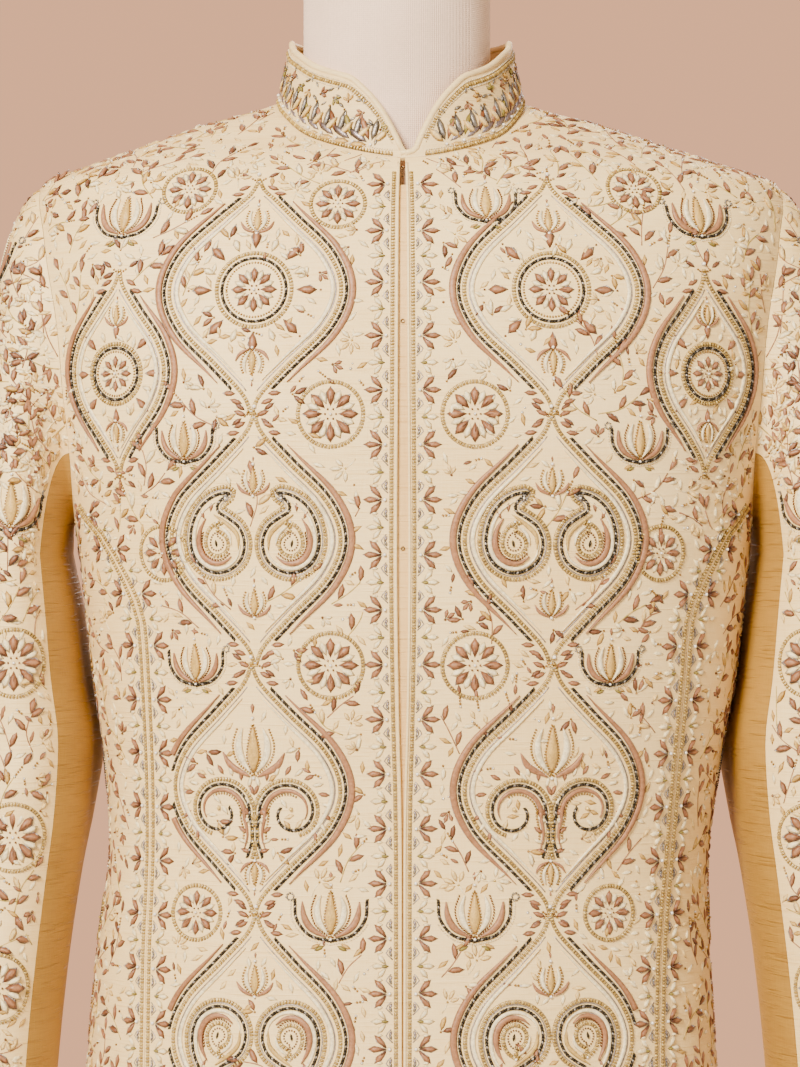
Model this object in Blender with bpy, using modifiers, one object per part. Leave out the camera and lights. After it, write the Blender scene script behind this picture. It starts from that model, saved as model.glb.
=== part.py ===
"""A long embroidered sherwani coat on a limbless dress form, in metres.

+Z is up, the floor is z = 0 and the coat's front faces -Y. The wearer's left is +X.
The coat's body is one polar surface: an angle round it (0 at the centre front, 90 degrees at
the left side) and a height. Panels are cut from that surface along the seams.
"""

import math
from collections import namedtuple

import bmesh
import bpy
import numpy as np

# Cloth and seams
CLOTH = 0.0017
COLLAR_CLOTH = 0.0022
UNDERLAP_CLOTH = 0.0012
UNDERLAP_ROWS = slice(1, 26)
UNDERLAP_TOP = 0.8
SEAM_GAP = 0.0003
SEAM_HALF = 0.0002

# Heights
HEM = 0.390
NECK_PIT = 1.433
BACK_NECK = 1.470
NECK_POINT = 1.474

# Armhole, seen from the side as an egg that stands on the body's surface
ARMHOLE_HEIGHT = 1.3175
ARMHOLE_RISE = 0.1045
ARMHOLE_FRONT = 0.058
ARMHOLE_BACK = 0.064
ARMHOLE_STEP = 9
FRONT_SEAM_TURN = 144
BACK_SEAM_TURN = 216
SLEEVE_FRONT_TURN = 126
SLEEVE_BACK_TURN = 243

# The sleeve leaves the armhole outward and a little down, and bends to hang plumb
ARMHOLE_ACROSS = 0.22
CAP_DROP = 0.55
CAP_FULLNESS = 0.5
CAP_FLARE = 0.08

# Neckline, seen from above
NECK_HALF_WIDTH = 0.0765
NECK_FRONT = 0.077
NECK_BACK = 0.066
NECK_SQUARENESS = 2.05
NECK_TURNS_FRONT = (6, 12, 19, 28, 40, 55, 72, 90)
NECK_TURNS_BACK = (163, 147, 131, 117, 103, 90)

# Dress form
FORM_BOTTOM = 0.800
FORM_NECK_TOP = 1.565
FORM_NECK_RADIUS = 0.0575
FORM_NECK_SHIFT = (-0.009, -0.005)
FORM_ARM_PLATE = 0.2135
FORM_LOOSE = 0.0075
FORM_DROP = 0.0045
FORM_STEP = 11.25
FORM_SHOULDER = (1.395, 1.425)
FORM_NECK_CUT = 0.03
FORM_NECK_BAND = 0.004
FORM_BLEND = 0.002
FORM_RIDGE_POWER = 4
POLE_RADIUS = 0.014
BASE_RADIUS = 0.195
BASE_THICKNESS = 0.014
BOSS_RADIUS = 0.030
BOSS_RISE = 0.012
FLANGE_RADIUS = 0.040
FLANGE_THICKNESS = 0.006
KNOB_RADIUS = 0.0565

# Hooks and eyes: bent wire, and the heights at which the eyes show in the opening
WIRE = 0.0003
EYE_RADIUS = 0.00105
NECK_EYE_DROP = 0.0065
HOOK_LENGTH = 0.006
UPPER_EYE_HEIGHT = 1.333
LOWER_EYE_HEIGHT = 1.199

Girth = namedtuple("Girth", "height half_width front back squareness")
BODY = (
    Girth(0.390, 0.2480, 0.168, 0.176, 2.15),
    Girth(0.500, 0.2360, 0.156, 0.166, 2.15),
    Girth(0.650, 0.2190, 0.143, 0.152, 2.20),
    Girth(0.800, 0.2015, 0.130, 0.137, 2.30),
    Girth(0.873, 0.1950, 0.124, 0.127, 2.35),
    Girth(0.942, 0.1900, 0.119, 0.112, 2.35),
    Girth(1.010, 0.1850, 0.116, 0.102, 2.35),
    Girth(1.060, 0.1890, 0.118, 0.104, 2.35),
    Girth(1.120, 0.1984, 0.122, 0.115, 2.35),
    Girth(1.166, 0.2037, 0.125, 0.124, 2.35),
    Girth(1.225, 0.2105, 0.127, 0.132, 2.40),
    Girth(1.260, 0.2180, 0.127, 0.136, 2.40),
    Girth(1.297, 0.2273, 0.124, 0.137, 2.40),
    Girth(1.345, 0.2343, 0.117, 0.134, 2.40),
    Girth(1.375, 0.2375, 0.110, 0.127, 2.35),
    Girth(1.400, 0.2360, 0.100, 0.117, 2.30),
    Girth(1.422, 0.2275, 0.087, 0.107, 2.25),
    Girth(1.436, 0.1920, 0.074, 0.096, 2.20),
    Girth(1.450, 0.1530, 0.051, 0.086, 2.20),
    Girth(1.462, 0.1180, 0.034, 0.075, 2.20),
    Girth(1.470, 0.0880, 0.019, 0.066, 2.20),
    Girth(1.474, 0.0765, 0.013, 0.060, 2.20),
    Girth(1.478, 0.0640, 0.008, 0.053, 2.20),
)

# The coat hangs a little off its own middle; its front opening hangs plumb
Hang = namedtuple("Hang", "height across")
HANG = (
    Hang(0.390, -0.0065),
    Hang(0.880, -0.0060),
    Hang(0.950, -0.0050),
    Hang(1.020, -0.0010),
    Hang(1.070, 0.0008),
    Hang(1.130, 0.0020),
    Hang(1.180, 0.0020),
    Hang(1.240, 0.0005),
    Hang(1.400, 0.0000),
    Hang(1.422, -0.0010),
    Hang(1.440, -0.0035),
    Hang(1.455, -0.0055),
    Hang(1.478, -0.0070),
)
OPENING_ACROSS = -0.0055

SkirtFold = namedtuple("SkirtFold", "turn width depth top")
SKIRT_FOLDS = (
    SkirtFold(45, 9, 0.0047, 0.84),
    SkirtFold(73, 9, -0.0054, 0.86),
    SkirtFold(95.5, 9, 0.0070, 0.88),
    SkirtFold(124, 11, -0.0051, 0.84),
    SkirtFold(152, 10, 0.0060, 0.90),
    SkirtFold(-44, 9, 0.0045, 0.84),
    SkirtFold(-72, 9, -0.0055, 0.86),
    SkirtFold(-95, 9, 0.0070, 0.88),
    SkirtFold(-125, 11, -0.0050, 0.84),
    SkirtFold(-153, 10, 0.0060, 0.90),
)

SeamPoint = namedtuple("SeamPoint", "height across")
FRONT_EDGE = (
    SeamPoint(0.390, 0.0060),
    SeamPoint(0.600, 0.0016),
    SeamPoint(0.800, 0.0004),
    SeamPoint(1.010, 0.0004),
    SeamPoint(1.050, 0.0008),
    SeamPoint(1.100, 0.0021),
    SeamPoint(1.190, 0.0032),
    SeamPoint(1.300, 0.0027),
    SeamPoint(1.400, 0.0023),
    SeamPoint(1.433, 0.0015),
)
FRONT_SIDE_SEAM = (
    SeamPoint(0.390, 0.1880),
    SeamPoint(0.600, 0.1680),
    SeamPoint(0.800, 0.1560),
    SeamPoint(0.873, 0.1540),
    SeamPoint(0.950, 0.1545),
    SeamPoint(1.040, 0.1570),
    SeamPoint(1.120, 0.1615),
    SeamPoint(1.155, 0.1640),
    SeamPoint(1.180, 0.1735),
    SeamPoint(1.208, 0.1895),
)
BACK_SIDE_SEAM = (
    SeamPoint(0.390, 0.1560),
    SeamPoint(0.600, 0.1400),
    SeamPoint(0.800, 0.1280),
    SeamPoint(0.950, 0.1150),
    SeamPoint(1.040, 0.1150),
    SeamPoint(1.120, 0.1330),
    SeamPoint(1.180, 0.1620),
    SeamPoint(1.208, 0.1860),
)

PANEL_HEIGHTS = (
    0.390, 0.455, 0.520, 0.590, 0.660, 0.730, 0.800, 0.850, 0.900,
    0.950, 1.000, 1.040, 1.080, 1.120, 1.155, 1.180, 1.208,
)
FRONT_HEIGHTS = (1.263, 1.293, 1.322, 1.349, 1.374, 1.397, 1.416, NECK_PIT)
BACK_HEIGHTS = (1.257, 1.281, 1.305, 1.329, 1.353, 1.377, 1.401, 1.424, 1.448, BACK_NECK)
PANEL_COLUMNS = 8

SleeveRing = namedtuple("SleeveRing", "height inner outer forward half_depth tuck")
SLEEVE = (
    SleeveRing(1.195, 0.2125, 0.2700, 0.004, 0.084, 0.006),
    SleeveRing(1.160, 0.2075, 0.2740, 0.003, 0.082, 0.013),
    SleeveRing(1.120, 0.2025, 0.2770, 0.001, 0.079, 0.018),
    SleeveRing(1.080, 0.1965, 0.2790, 0.000, 0.076, 0.020),
    SleeveRing(1.040, 0.1990, 0.2805, -0.002, 0.0735, 0.012),
    SleeveRing(1.000, 0.2045, 0.2830, -0.006, 0.071, 0.004),
    SleeveRing(0.950, 0.2110, 0.2865, -0.012, 0.068, 0.000),
    SleeveRing(0.900, 0.2160, 0.2895, -0.019, 0.0645, 0.000),
    SleeveRing(0.850, 0.2195, 0.2910, -0.027, 0.061, 0.000),
    SleeveRing(0.795, 0.2215, 0.2905, -0.034, 0.058, 0.000),
)
CAP_STEPS = (0.0, 0.05, 0.14, 0.27, 0.43, 0.61, 0.80)

# Collar height against the distance along the neckline from the centre front
CollarPoint = namedtuple("CollarPoint", "along height")
COLLAR = (
    CollarPoint(0.000, 0.0030),
    CollarPoint(0.006, 0.0045),
    CollarPoint(0.0105, 0.0135),
    CollarPoint(0.0215, 0.0300),
    CollarPoint(0.0320, 0.0385),
    CollarPoint(0.0470, 0.0445),
    CollarPoint(0.0680, 0.0435),
    CollarPoint(0.0950, 0.0405),
    CollarPoint(0.1210, 0.0380),
    CollarPoint(0.1600, 0.0380),
    CollarPoint(0.2300, 0.0400),
)
COLLAR_ROWS = (0.0, 0.1, 0.35, 0.68, 1.0)
COLLAR_LEAN = math.radians(12)

COLOURS = {
    "silk_embroidered": ((0.80, 0.70, 0.53), 0.55, 0.0),
    "silk_plain": ((0.69, 0.54, 0.30), 0.45, 0.0),
    "form_canvas": ((0.78, 0.71, 0.64), 0.9, 0.0),
    "form_wood": ((0.42, 0.27, 0.15), 0.4, 0.0),
    "metal": ((0.62, 0.58, 0.50), 0.3, 1.0),
}


def clear_scene():
    for thing in list(bpy.data.objects):
        bpy.data.objects.remove(thing, do_unlink=True)


def make_materials():
    made = {}
    for name, (colour, roughness, metallic) in COLOURS.items():
        material = bpy.data.materials.new(name)
        material.use_nodes = True
        shader = material.node_tree.nodes["Principled BSDF"]
        shader.inputs["Base Color"].default_value = (*colour, 1)
        shader.inputs["Roughness"].default_value = roughness
        shader.inputs["Metallic"].default_value = metallic
        made[name] = material
    return made


def smooth_through(xs, ys, at):
    """A curve through the points that never overshoots them (a monotone cubic)."""
    xs, ys, at = np.asarray(xs, float), np.asarray(ys, float), np.asarray(at, float)
    step, rise = np.diff(xs), np.diff(ys)
    slope = rise / step
    tangent = np.concatenate([slope[:1], np.zeros(len(xs) - 2), slope[-1:]])
    same_way = slope[:-1] * slope[1:] > 0
    weight_a, weight_b = 2 * step[1:] + step[:-1], step[1:] + 2 * step[:-1]
    safe_a = np.where(same_way, slope[:-1], 1.0)
    safe_b = np.where(same_way, slope[1:], 1.0)
    mean = (weight_a + weight_b) / (weight_a / safe_a + weight_b / safe_b)
    tangent[1:-1] = np.where(same_way, mean, 0.0)
    k = np.clip(np.searchsorted(xs, at, side="right") - 1, 0, len(xs) - 2)
    t = np.clip((at - xs[k]) / step[k], 0.0, 1.0)
    return (
        (2 * t**3 - 3 * t**2 + 1) * ys[k]
        + (t**3 - 2 * t**2 + t) * step[k] * tangent[k]
        + (3 * t**2 - 2 * t**3) * ys[k + 1]
        + (t**3 - t**2) * step[k] * tangent[k + 1]
    )


def column(table, name, at):
    """One named column of a table, read at other values of the table's first column."""
    xs = [row[0] for row in table]
    ys = [getattr(row, name) for row in table]
    return smooth_through(xs, ys, at)


def smooth_step(low, high, value):
    t = np.clip((np.asarray(value, float) - low) / (high - low), 0.0, 1.0)
    return t * t * (3 - 2 * t)


def unit(vectors):
    return vectors / np.linalg.norm(vectors, axis=-1, keepdims=True)


def squared_round(turn, half_width, front, back, squareness):
    """Radius at an angle (radians from the front) of a squared ellipse with its own front and back."""
    depth = np.where(np.cos(turn) > 0, front, back)
    share = np.abs(np.sin(turn) / half_width) ** squareness
    share = share + np.abs(np.cos(turn) / depth) ** squareness
    return share ** (-1 / squareness)


def body_radius(turn, height):
    turn, height = np.broadcast_arrays(np.asarray(turn, float), np.asarray(height, float))
    radius = squared_round(
        turn, *(column(BODY, name, height) for name in Girth._fields[1:])
    )
    for fold in SKIRT_FOLDS:
        away = (np.degrees(turn) - fold.turn + 180) % 360 - 180
        hang = smooth_step(fold.top, HEM, height)
        radius = radius + fold.depth * hang * np.exp(-((away / fold.width) ** 2))
    return radius


def half_axes(cosine, height):
    """Half width, and depth to the front or the back, at a height."""
    front, back = column(BODY, "front", height), column(BODY, "back", height)
    return column(BODY, "half_width", height), np.where(cosine > 0, front, back)


def turn_of(station, height):
    """A station steps evenly round the body however flat it is; this is its angle seen from above."""
    half_width, depth = half_axes(np.cos(station), height)
    return np.arctan2(half_width * np.sin(station), depth * np.cos(station))


def station_of(turn, height):
    half_width, depth = half_axes(np.cos(turn), height)
    return np.arctan2(depth * np.sin(turn), half_width * np.cos(turn))


def body_point(station, height):
    station, height = np.broadcast_arrays(np.asarray(station, float), np.asarray(height, float))
    turn = turn_of(station, height)
    radius = body_radius(turn, height)
    x = radius * np.sin(turn) + column(HANG, "across", height)
    return np.stack([x, -radius * np.cos(turn), height], axis=-1)


def body_normal(station, height):
    """Outward normal of the body's surface."""
    station_step, height_step = 1e-3, 5e-4
    top = np.minimum(np.asarray(height, float) + height_step, BODY[-1].height)
    round_it = body_point(station + station_step, height) - body_point(station - station_step, height)
    up = body_point(station, top) - body_point(station, top - 2 * height_step)
    return unit(np.cross(round_it, up))


def station_at_across(across, height, back=False):
    """The station at which the body is that far to the left of its own middle."""
    stations = np.radians(np.linspace(180, 91, 180) if back else np.linspace(-89, 89, 357))
    x = body_point(stations, height)[:, 0] - column(HANG, "across", height)
    return float(np.interp(across, x, stations))


def opening_station(side, height):
    """The station of one edge of the front opening."""
    middle = OPENING_ACROSS - column(HANG, "across", height)
    return station_at_across(middle + side * column(FRONT_EDGE, "across", height), height)


def armhole_point(turn_degrees, side):
    """(station, height) on the body of an armhole point: turn 0 is the shoulder tip, 90 the front."""
    turn = math.radians(turn_degrees)
    height = ARMHOLE_HEIGHT + ARMHOLE_RISE * math.cos(turn)
    reach = ARMHOLE_FRONT if turn_degrees <= 180 else ARMHOLE_BACK
    y = -reach * math.sin(turn)
    row = [float(column(BODY, name, height)) for name in Girth._fields[1:]]
    half_width, front, back, squareness = row
    depth = front if y <= 0 else back
    x = half_width * (1 - abs(y / depth) ** squareness) ** (1 / squareness)
    return side * float(station_of(math.atan2(x, -y), height)), height


def neckline_point(turn):
    """(station, height) on the body of the neckline at an angle seen from above."""
    radius = squared_round(turn, NECK_HALF_WIDTH, NECK_FRONT, NECK_BACK, NECK_SQUARENESS)
    heights = np.linspace(1.405, BODY[-1].height, 300)
    radii = body_radius(np.full_like(heights, turn), heights)
    height = float(np.interp(-radius, -radii, heights))
    return float(station_of(turn, height)), height


def link(thing):
    coat_collection().objects.link(thing)
    return thing


def coat_collection():
    name = "sherwani_coat_on_form"
    found = bpy.data.collections.get(name)
    if found is None:
        found = bpy.data.collections.new(name)
        bpy.context.scene.collection.children.link(found)
    return found


def shade(mesh):
    mesh.shade_smooth()
    mesh.set_sharp_from_angle(angle=math.radians(50))


def add_mesh(name, points, faces, material):
    mesh = bpy.data.meshes.new(name)
    mesh.from_pydata([tuple(p) for p in points], [], faces)
    work = bmesh.new()
    work.from_mesh(mesh)
    bmesh.ops.recalc_face_normals(work, faces=work.faces)
    if work.calc_volume(signed=True) < 0:
        bmesh.ops.reverse_faces(work, faces=work.faces)
    work.to_mesh(mesh)
    work.free()
    shade(mesh)
    mesh.materials.append(material)
    return link(bpy.data.objects.new(name, mesh))


def split(points, ring):
    """Two triangles for a ring of four, cut along its shorter diagonal."""
    a, b, c, d = ring
    if np.linalg.norm(points[a] - points[c]) <= np.linalg.norm(points[b] - points[d]):
        return [[a, b, c], [a, c, d]]
    return [[a, b, d], [b, c, d]]


def add_wall(name, outer, inner, material):
    """A closed wall between two grids of points, rows by columns."""
    rows, columns = outer.shape[:2]
    points = np.concatenate([outer.reshape(-1, 3), inner.reshape(-1, 3)])
    shift = rows * columns
    faces = []
    for row in range(rows - 1):
        for col in range(columns - 1):
            first = row * columns + col
            pair = split(points, [first, first + 1, first + columns + 1, first + columns])
            faces += pair
            faces += [[shift + corner for corner in reversed(face)] for face in pair]
    edge = list(range(columns))
    edge += [row * columns + columns - 1 for row in range(1, rows)]
    edge += [(rows - 1) * columns + col for col in range(columns - 2, -1, -1)]
    edge += [row * columns for row in range(rows - 2, 0, -1)]
    for here, after in zip(edge, edge[1:] + edge[:1]):
        faces += split(points, [after, here, shift + here, shift + after])
    return add_mesh(name, points, faces, material)


def drawn_in(outer, side, amount, rows=slice(None)):
    """Movement that draws a seam edge of a grid in towards the grid's inside, on its surface."""
    move = np.zeros_like(outer)
    if side == "last_column":
        move[rows, -1] = unit(outer[rows, -2] - outer[rows, -1]) * amount
    elif side == "first_column":
        move[rows, 0] = unit(outer[rows, 1] - outer[rows, 0]) * amount
    elif side == "last_row":
        move[-1] = unit(outer[-2] - outer[-1]) * amount
    return move


def main_panel_grid(side, back):
    """Stations and heights of a front or back panel, hem to shoulder, centre edge to armhole."""
    seam = BACK_SIDE_SEAM if back else FRONT_SIDE_SEAM
    neck_turns = NECK_TURNS_BACK if back else NECK_TURNS_FRONT
    upper = BACK_HEIGHTS if back else FRONT_HEIGHTS
    outer = [
        (side * station_at_across(column(seam, "across", height), height, back), height)
        for height in PANEL_HEIGHTS
    ]
    turns = list(range(FRONT_SEAM_TURN, -1, -ARMHOLE_STEP))
    outer += [armhole_point(360 - turn if back else turn, side) for turn in turns]
    inner = []
    for height in (*PANEL_HEIGHTS, outer[len(PANEL_HEIGHTS)][1], *upper):
        inner.append((side * math.pi if back else opening_station(side, height), height))
    for turn in neck_turns:
        station, height = neckline_point(math.radians(turn))
        inner.append((side * station, height))
    inner, outer = np.array(inner), np.array(outer)
    share = np.linspace(0, 1, PANEL_COLUMNS + 1)[None, :, None]
    return inner[:, None, :] * (1 - share) + outer[:, None, :] * share


def add_main_panel(name, side, back, material):
    grid = main_panel_grid(side, back)
    outer = body_point(grid[..., 0], grid[..., 1])
    normal = body_normal(grid[..., 0], grid[..., 1])
    seam_rows = slice(0, len(PANEL_HEIGHTS) + 1)
    move = drawn_in(outer, "last_column", SEAM_HALF, seam_rows)
    move += drawn_in(outer, "last_row", SEAM_HALF)
    if back:
        centre_rows = slice(0, outer.shape[0] - len(NECK_TURNS_BACK))
        move += drawn_in(outer, "first_column", SEAM_HALF, centre_rows)
    outer = outer + move
    return add_wall(name, outer, outer - normal * CLOTH, material)


def add_side_panel(name, side, material):
    """The panel under the arm, between the front and back side seams; its top dips under the armhole."""
    top = [armhole_point(t, side) for t in range(FRONT_SEAM_TURN, BACK_SEAM_TURN + 1, ARMHOLE_STEP)]
    top = np.array(top)
    seam_top = top[0, 1]
    share = (top[:, 0] - top[0, 0]) / (top[-1, 0] - top[0, 0])
    rows = []
    for height in PANEL_HEIGHTS:
        front = side * station_at_across(column(FRONT_SIDE_SEAM, "across", height), height)
        back = side * station_at_across(column(BACK_SIDE_SEAM, "across", height), height, True)
        bend = float(smooth_step(1.10, seam_top, height))
        stations = front * (1 - share) + back * share
        rows.append(np.stack([stations, height + bend * (top[:, 1] - seam_top)], axis=-1))
    grid = np.array([*rows, top])
    outer = body_point(grid[..., 0], grid[..., 1])
    normal = body_normal(grid[..., 0], grid[..., 1])
    move = drawn_in(outer, "first_column", SEAM_HALF)
    move += drawn_in(outer, "last_column", SEAM_HALF)
    outer = outer + move
    return add_wall(name, outer, outer - normal * CLOTH, material)


def sleeve_ring(turns, height):
    """Points of a sleeve's section: turn 0 is its outer side, 90 degrees its front."""
    inner, outer, forward, half_depth, tuck = (
        column(SLEEVE[::-1], name, height) for name in SleeveRing._fields[1:]
    )
    x = (inner + outer) / 2 + (outer - inner) / 2 * np.cos(turns)
    # Behind the side of the body the sleeve tucks in a little further.
    x = x - tuck * np.maximum(-np.sin(turns), 0) * (1 - np.cos(turns)) / 2
    y = forward - half_depth * np.sin(turns)
    return np.stack([x, y, np.full_like(x, height)], axis=-1)


def sleeve_grid(side):
    """Points and outward directions of a whole sleeve tube, armhole to cuff."""
    turns_degrees = range(0, 360, ARMHOLE_STEP)
    turns = np.radians(list(turns_degrees))
    on_body = np.array([armhole_point(t, side) for t in turns_degrees])
    start = body_point(on_body[:, 0], on_body[:, 1])
    rim_normal = body_normal(on_body[:, 0], on_body[:, 1])
    to_middle = np.array([side * ARMHOLE_ACROSS, 0.0, ARMHOLE_HEIGHT]) - start
    to_middle -= rim_normal * (to_middle * rim_normal).sum(-1, keepdims=True)
    mirror = np.array([side, 1.0, 1.0])
    start = (start + unit(to_middle) * SEAM_GAP) * mirror
    bicep = sleeve_ring(turns, SLEEVE[0].height)
    length = np.linalg.norm(bicep - start, axis=-1, keepdims=True)
    drop = -CAP_DROP * np.maximum(np.cos(turns), 0)
    leave = unit(np.stack([np.ones_like(drop), 0 * drop, drop], axis=-1)) * length * CAP_FULLNESS
    arrive = np.array([CAP_FLARE, 0.0, -1.0]) * length
    rings = []
    for t in CAP_STEPS:
        rings.append(
            (2 * t**3 - 3 * t**2 + 1) * start
            + (t**3 - 2 * t**2 + t) * leave
            + (3 * t**2 - 2 * t**3) * bicep
            + (t**3 - t**2) * arrive
        )
    rings += [sleeve_ring(turns, row.height) for row in SLEEVE]
    points = np.array(rings)
    round_it = np.roll(points, -1, axis=1) - np.roll(points, 1, axis=1)
    normal = unit(np.cross(round_it, np.gradient(points, axis=0)))
    return points * mirror, normal * mirror


def add_sleeve_piece(name, side, first_turn, last_turn, material):
    points, normal = sleeve_grid(side)
    columns = [t // ARMHOLE_STEP % (360 // ARMHOLE_STEP)
               for t in range(first_turn, last_turn + 1, ARMHOLE_STEP)]
    outer, normal = points[:, columns], normal[:, columns]
    move = drawn_in(outer, "first_column", SEAM_HALF)
    move += drawn_in(outer, "last_column", SEAM_HALF)
    outer = outer + move
    return add_wall(name, outer, outer - normal * CLOTH, material)


def add_collar(material):
    """A stand-up band round the neckline, cut away in a curve at the centre front."""
    turns = [math.radians(turn) for turn in (*NECK_TURNS_FRONT, *reversed(NECK_TURNS_BACK[:-1]))]
    half = [neckline_point(turn) for turn in turns]
    on_body = [(opening_station(1, NECK_PIT), NECK_PIT), *half, (math.pi, BACK_NECK)]
    on_body += [(2 * math.pi - station, height) for station, height in reversed(half)]
    on_body.append((2 * math.pi + opening_station(-1, NECK_PIT), NECK_PIT))
    on_body = np.array(on_body)
    base = body_point(on_body[:, 0], on_body[:, 1])
    rim_normal = body_normal(on_body[:, 0], on_body[:, 1])
    neck_axis = np.array([column(HANG, "across", NECK_POINT), 0.0, 0.0])
    inward = unit((neck_axis - base) * np.array([1.0, 1.0, 0.0]))
    into_hole = inward - rim_normal * (inward * rim_normal).sum(-1, keepdims=True)
    base = base + unit(into_hole) * SEAM_GAP
    along = np.concatenate([[0.0], np.cumsum(np.linalg.norm(np.diff(base, axis=0), axis=1))])
    along = np.minimum(along, along[-1] - along)
    tall = column(COLLAR, "height", along)[:, None]
    rise = np.array([0.0, 0.0, math.cos(COLLAR_LEAN)]) + inward * math.sin(COLLAR_LEAN)
    stand_normal = unit(-inward * math.cos(COLLAR_LEAN) + np.array([0, 0, math.sin(COLLAR_LEAN)]))
    outer, inner = [], []
    for share in COLLAR_ROWS:
        points = base + rise * tall * share
        turned = smooth_step(0.0, 0.004, tall * share)
        normal = unit(rim_normal * (1 - turned) + stand_normal * turned)
        outer.append(points)
        inner.append(points - normal * COLLAR_CLOTH)
    return add_wall("collar", np.array(outer), np.array(inner), material)


def underlap_grid():
    """Points and normals of the underlap's outer side: the fronts' own points, moved in."""
    grids = [main_panel_grid(side, False) for side in (-1, 1)]
    grid = np.concatenate([grids[0][:, 1::-1], grids[1][:, :2]], axis=1)
    grid = grid[UNDERLAP_ROWS]
    points, normal = body_point(grid[..., 0], grid[..., 1]), body_normal(grid[..., 0], grid[..., 1])
    points = points - normal * (CLOTH + SEAM_GAP)
    points[-1] = points[-1] * UNDERLAP_TOP + points[-2] * (1 - UNDERLAP_TOP)
    return points, normal


def add_underlap(material):
    """The strip of plain silk behind the front opening."""
    outer, normal = underlap_grid()
    return add_wall("placket_underlap", outer, outer - normal * UNDERLAP_CLOTH, material)


def in_opening(height, lift):
    """A point in the front opening, that far in front of the underlap, with its normal and its up."""
    points, _ = underlap_grid()
    middle = points[:, 1:3].mean(axis=1)
    row = int(np.clip(np.searchsorted(middle[:, 2], height), 1, len(middle) - 1))
    up = unit(middle[row] - middle[row - 1])
    share = (height - middle[row - 1, 2]) / (middle[row, 2] - middle[row - 1, 2])
    on_strip = middle[row - 1] + share * (middle[row] - middle[row - 1])
    normal = np.cross([1.0, 0, 0], up)
    return on_strip + normal * lift, normal, up


def form_neck_reach(turn, hang):
    shift_x, shift_y = FORM_NECK_SHIFT
    shift_x = shift_x - hang
    return FORM_NECK_RADIUS + shift_x * np.sin(turn) - shift_y * np.cos(turn)


def form_ring(stations, height):
    """The coat's surface drawn in, or the neck, whichever is wider."""
    lowered = min(height + FORM_DROP, BODY[-1].height)
    turn = turn_of(stations, lowered)
    ridge = np.abs(np.sin(stations)) ** FORM_RIDGE_POWER * smooth_step(*FORM_SHOULDER, height)
    torso = body_radius(turn, lowered) - FORM_LOOSE * (1 - ridge)
    highest = BODY[-1].height
    torso = torso - FORM_NECK_CUT * smooth_step(highest - FORM_NECK_BAND, highest, height + FORM_DROP)
    hang = column(HANG, "across", lowered)
    neck = form_neck_reach(turn, hang)
    gap = torso - neck
    radius = neck + (gap + np.sqrt(gap**2 + FORM_BLEND**2)) / 2
    x = np.clip(radius * np.sin(turn) + hang, -FORM_ARM_PLATE, FORM_ARM_PLATE)
    return np.stack([x, -radius * np.cos(turn), np.full_like(x, height)], axis=-1)


def add_form_body(material):
    stations = np.radians(np.arange(0, 360, FORM_STEP))
    heights = [FORM_BOTTOM, 0.86, 0.93, 1.0, 1.06, 1.12, 1.18, 1.24, 1.30, 1.35, 1.385, 1.405,
               1.418, 1.430, 1.441, 1.452, 1.461, 1.468, 1.474, 1.485, 1.510, FORM_NECK_TOP]
    points = np.array([form_ring(stations, height) for height in heights])
    count = len(stations)
    faces = []
    for row in range(len(heights) - 1):
        for col in range(count):
            after = (col + 1) % count
            faces.append([row * count + col, row * count + after,
                          (row + 1) * count + after, (row + 1) * count + col])
    faces.append([col for col in range(count)])
    faces.append([(len(heights) - 1) * count + col for col in range(count)])
    return add_mesh("form_body", points.reshape(-1, 3), faces, material)


def add_turned(name, profile, steps, material, place=(0, 0, 0)):
    """A turned shape: the profile (radius, height) runs down its outer side, top to bottom."""
    mesh = bpy.data.meshes.new(name)
    points = [(radius, 0, height) for radius, height in profile]
    mesh.from_pydata(points, [(i, i + 1) for i in range(len(points) - 1)], [])
    mesh.materials.append(material)
    thing = link(bpy.data.objects.new(name, mesh))
    thing.location = place
    turn = thing.modifiers.new("turn", "SCREW")
    turn.steps = turn.render_steps = steps
    turn.use_merge_vertices = True
    turn.merge_threshold = 0.0001
    turn.use_smooth_shade = True
    return thing


def add_wire(name, points, radius, material, closed=False):
    curve = bpy.data.curves.new(name, "CURVE")
    curve.dimensions = "3D"
    curve.bevel_depth = radius
    curve.bevel_resolution = 1
    curve.use_fill_caps = not closed
    spline = curve.splines.new("POLY")
    spline.points.add(len(points) - 1)
    for spot, point in zip(spline.points, points):
        spot.co = (*point, 1)
    spline.use_cyclic_u = closed
    curve.materials.append(material)
    return link(bpy.data.objects.new(name, curve))


def add_eye(name, height, material):
    """A sewn-on wire eye: a small ring flat against the underlap, in the opening."""
    centre, _, up = in_opening(height, SEAM_GAP + WIRE)
    across = np.array([1.0, 0, 0])
    turns = np.linspace(0, 2 * math.pi, 13)[:-1]
    points = [centre + EYE_RADIUS * (across * math.cos(t) + up * math.sin(t)) for t in turns]
    add_wire(name, points, WIRE, material, closed=True)


def add_fastenings(material):
    """A hook and eye at the neck, and two eyes further down that show in the opening."""
    height = NECK_PIT - NECK_EYE_DROP
    add_eye("neck_eye", height, material)
    ring, normal, up = in_opening(height, SEAM_GAP + WIRE)
    foot, _, _ = in_opening(height - HOOK_LENGTH, SEAM_GAP + WIRE)
    out = normal * (2 * WIRE + SEAM_GAP)
    path = [foot, ring * 0.4 + foot * 0.6, ring * 0.55 + foot * 0.45 + out, ring - up * 0.0005 + out]
    path += [ring + out * 0.5, ring]
    add_wire("neck_hook", path, WIRE, material)
    add_eye("placket_eye_upper", UPPER_EYE_HEIGHT, material)
    add_eye("placket_eye_lower", LOWER_EYE_HEIGHT, material)


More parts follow.
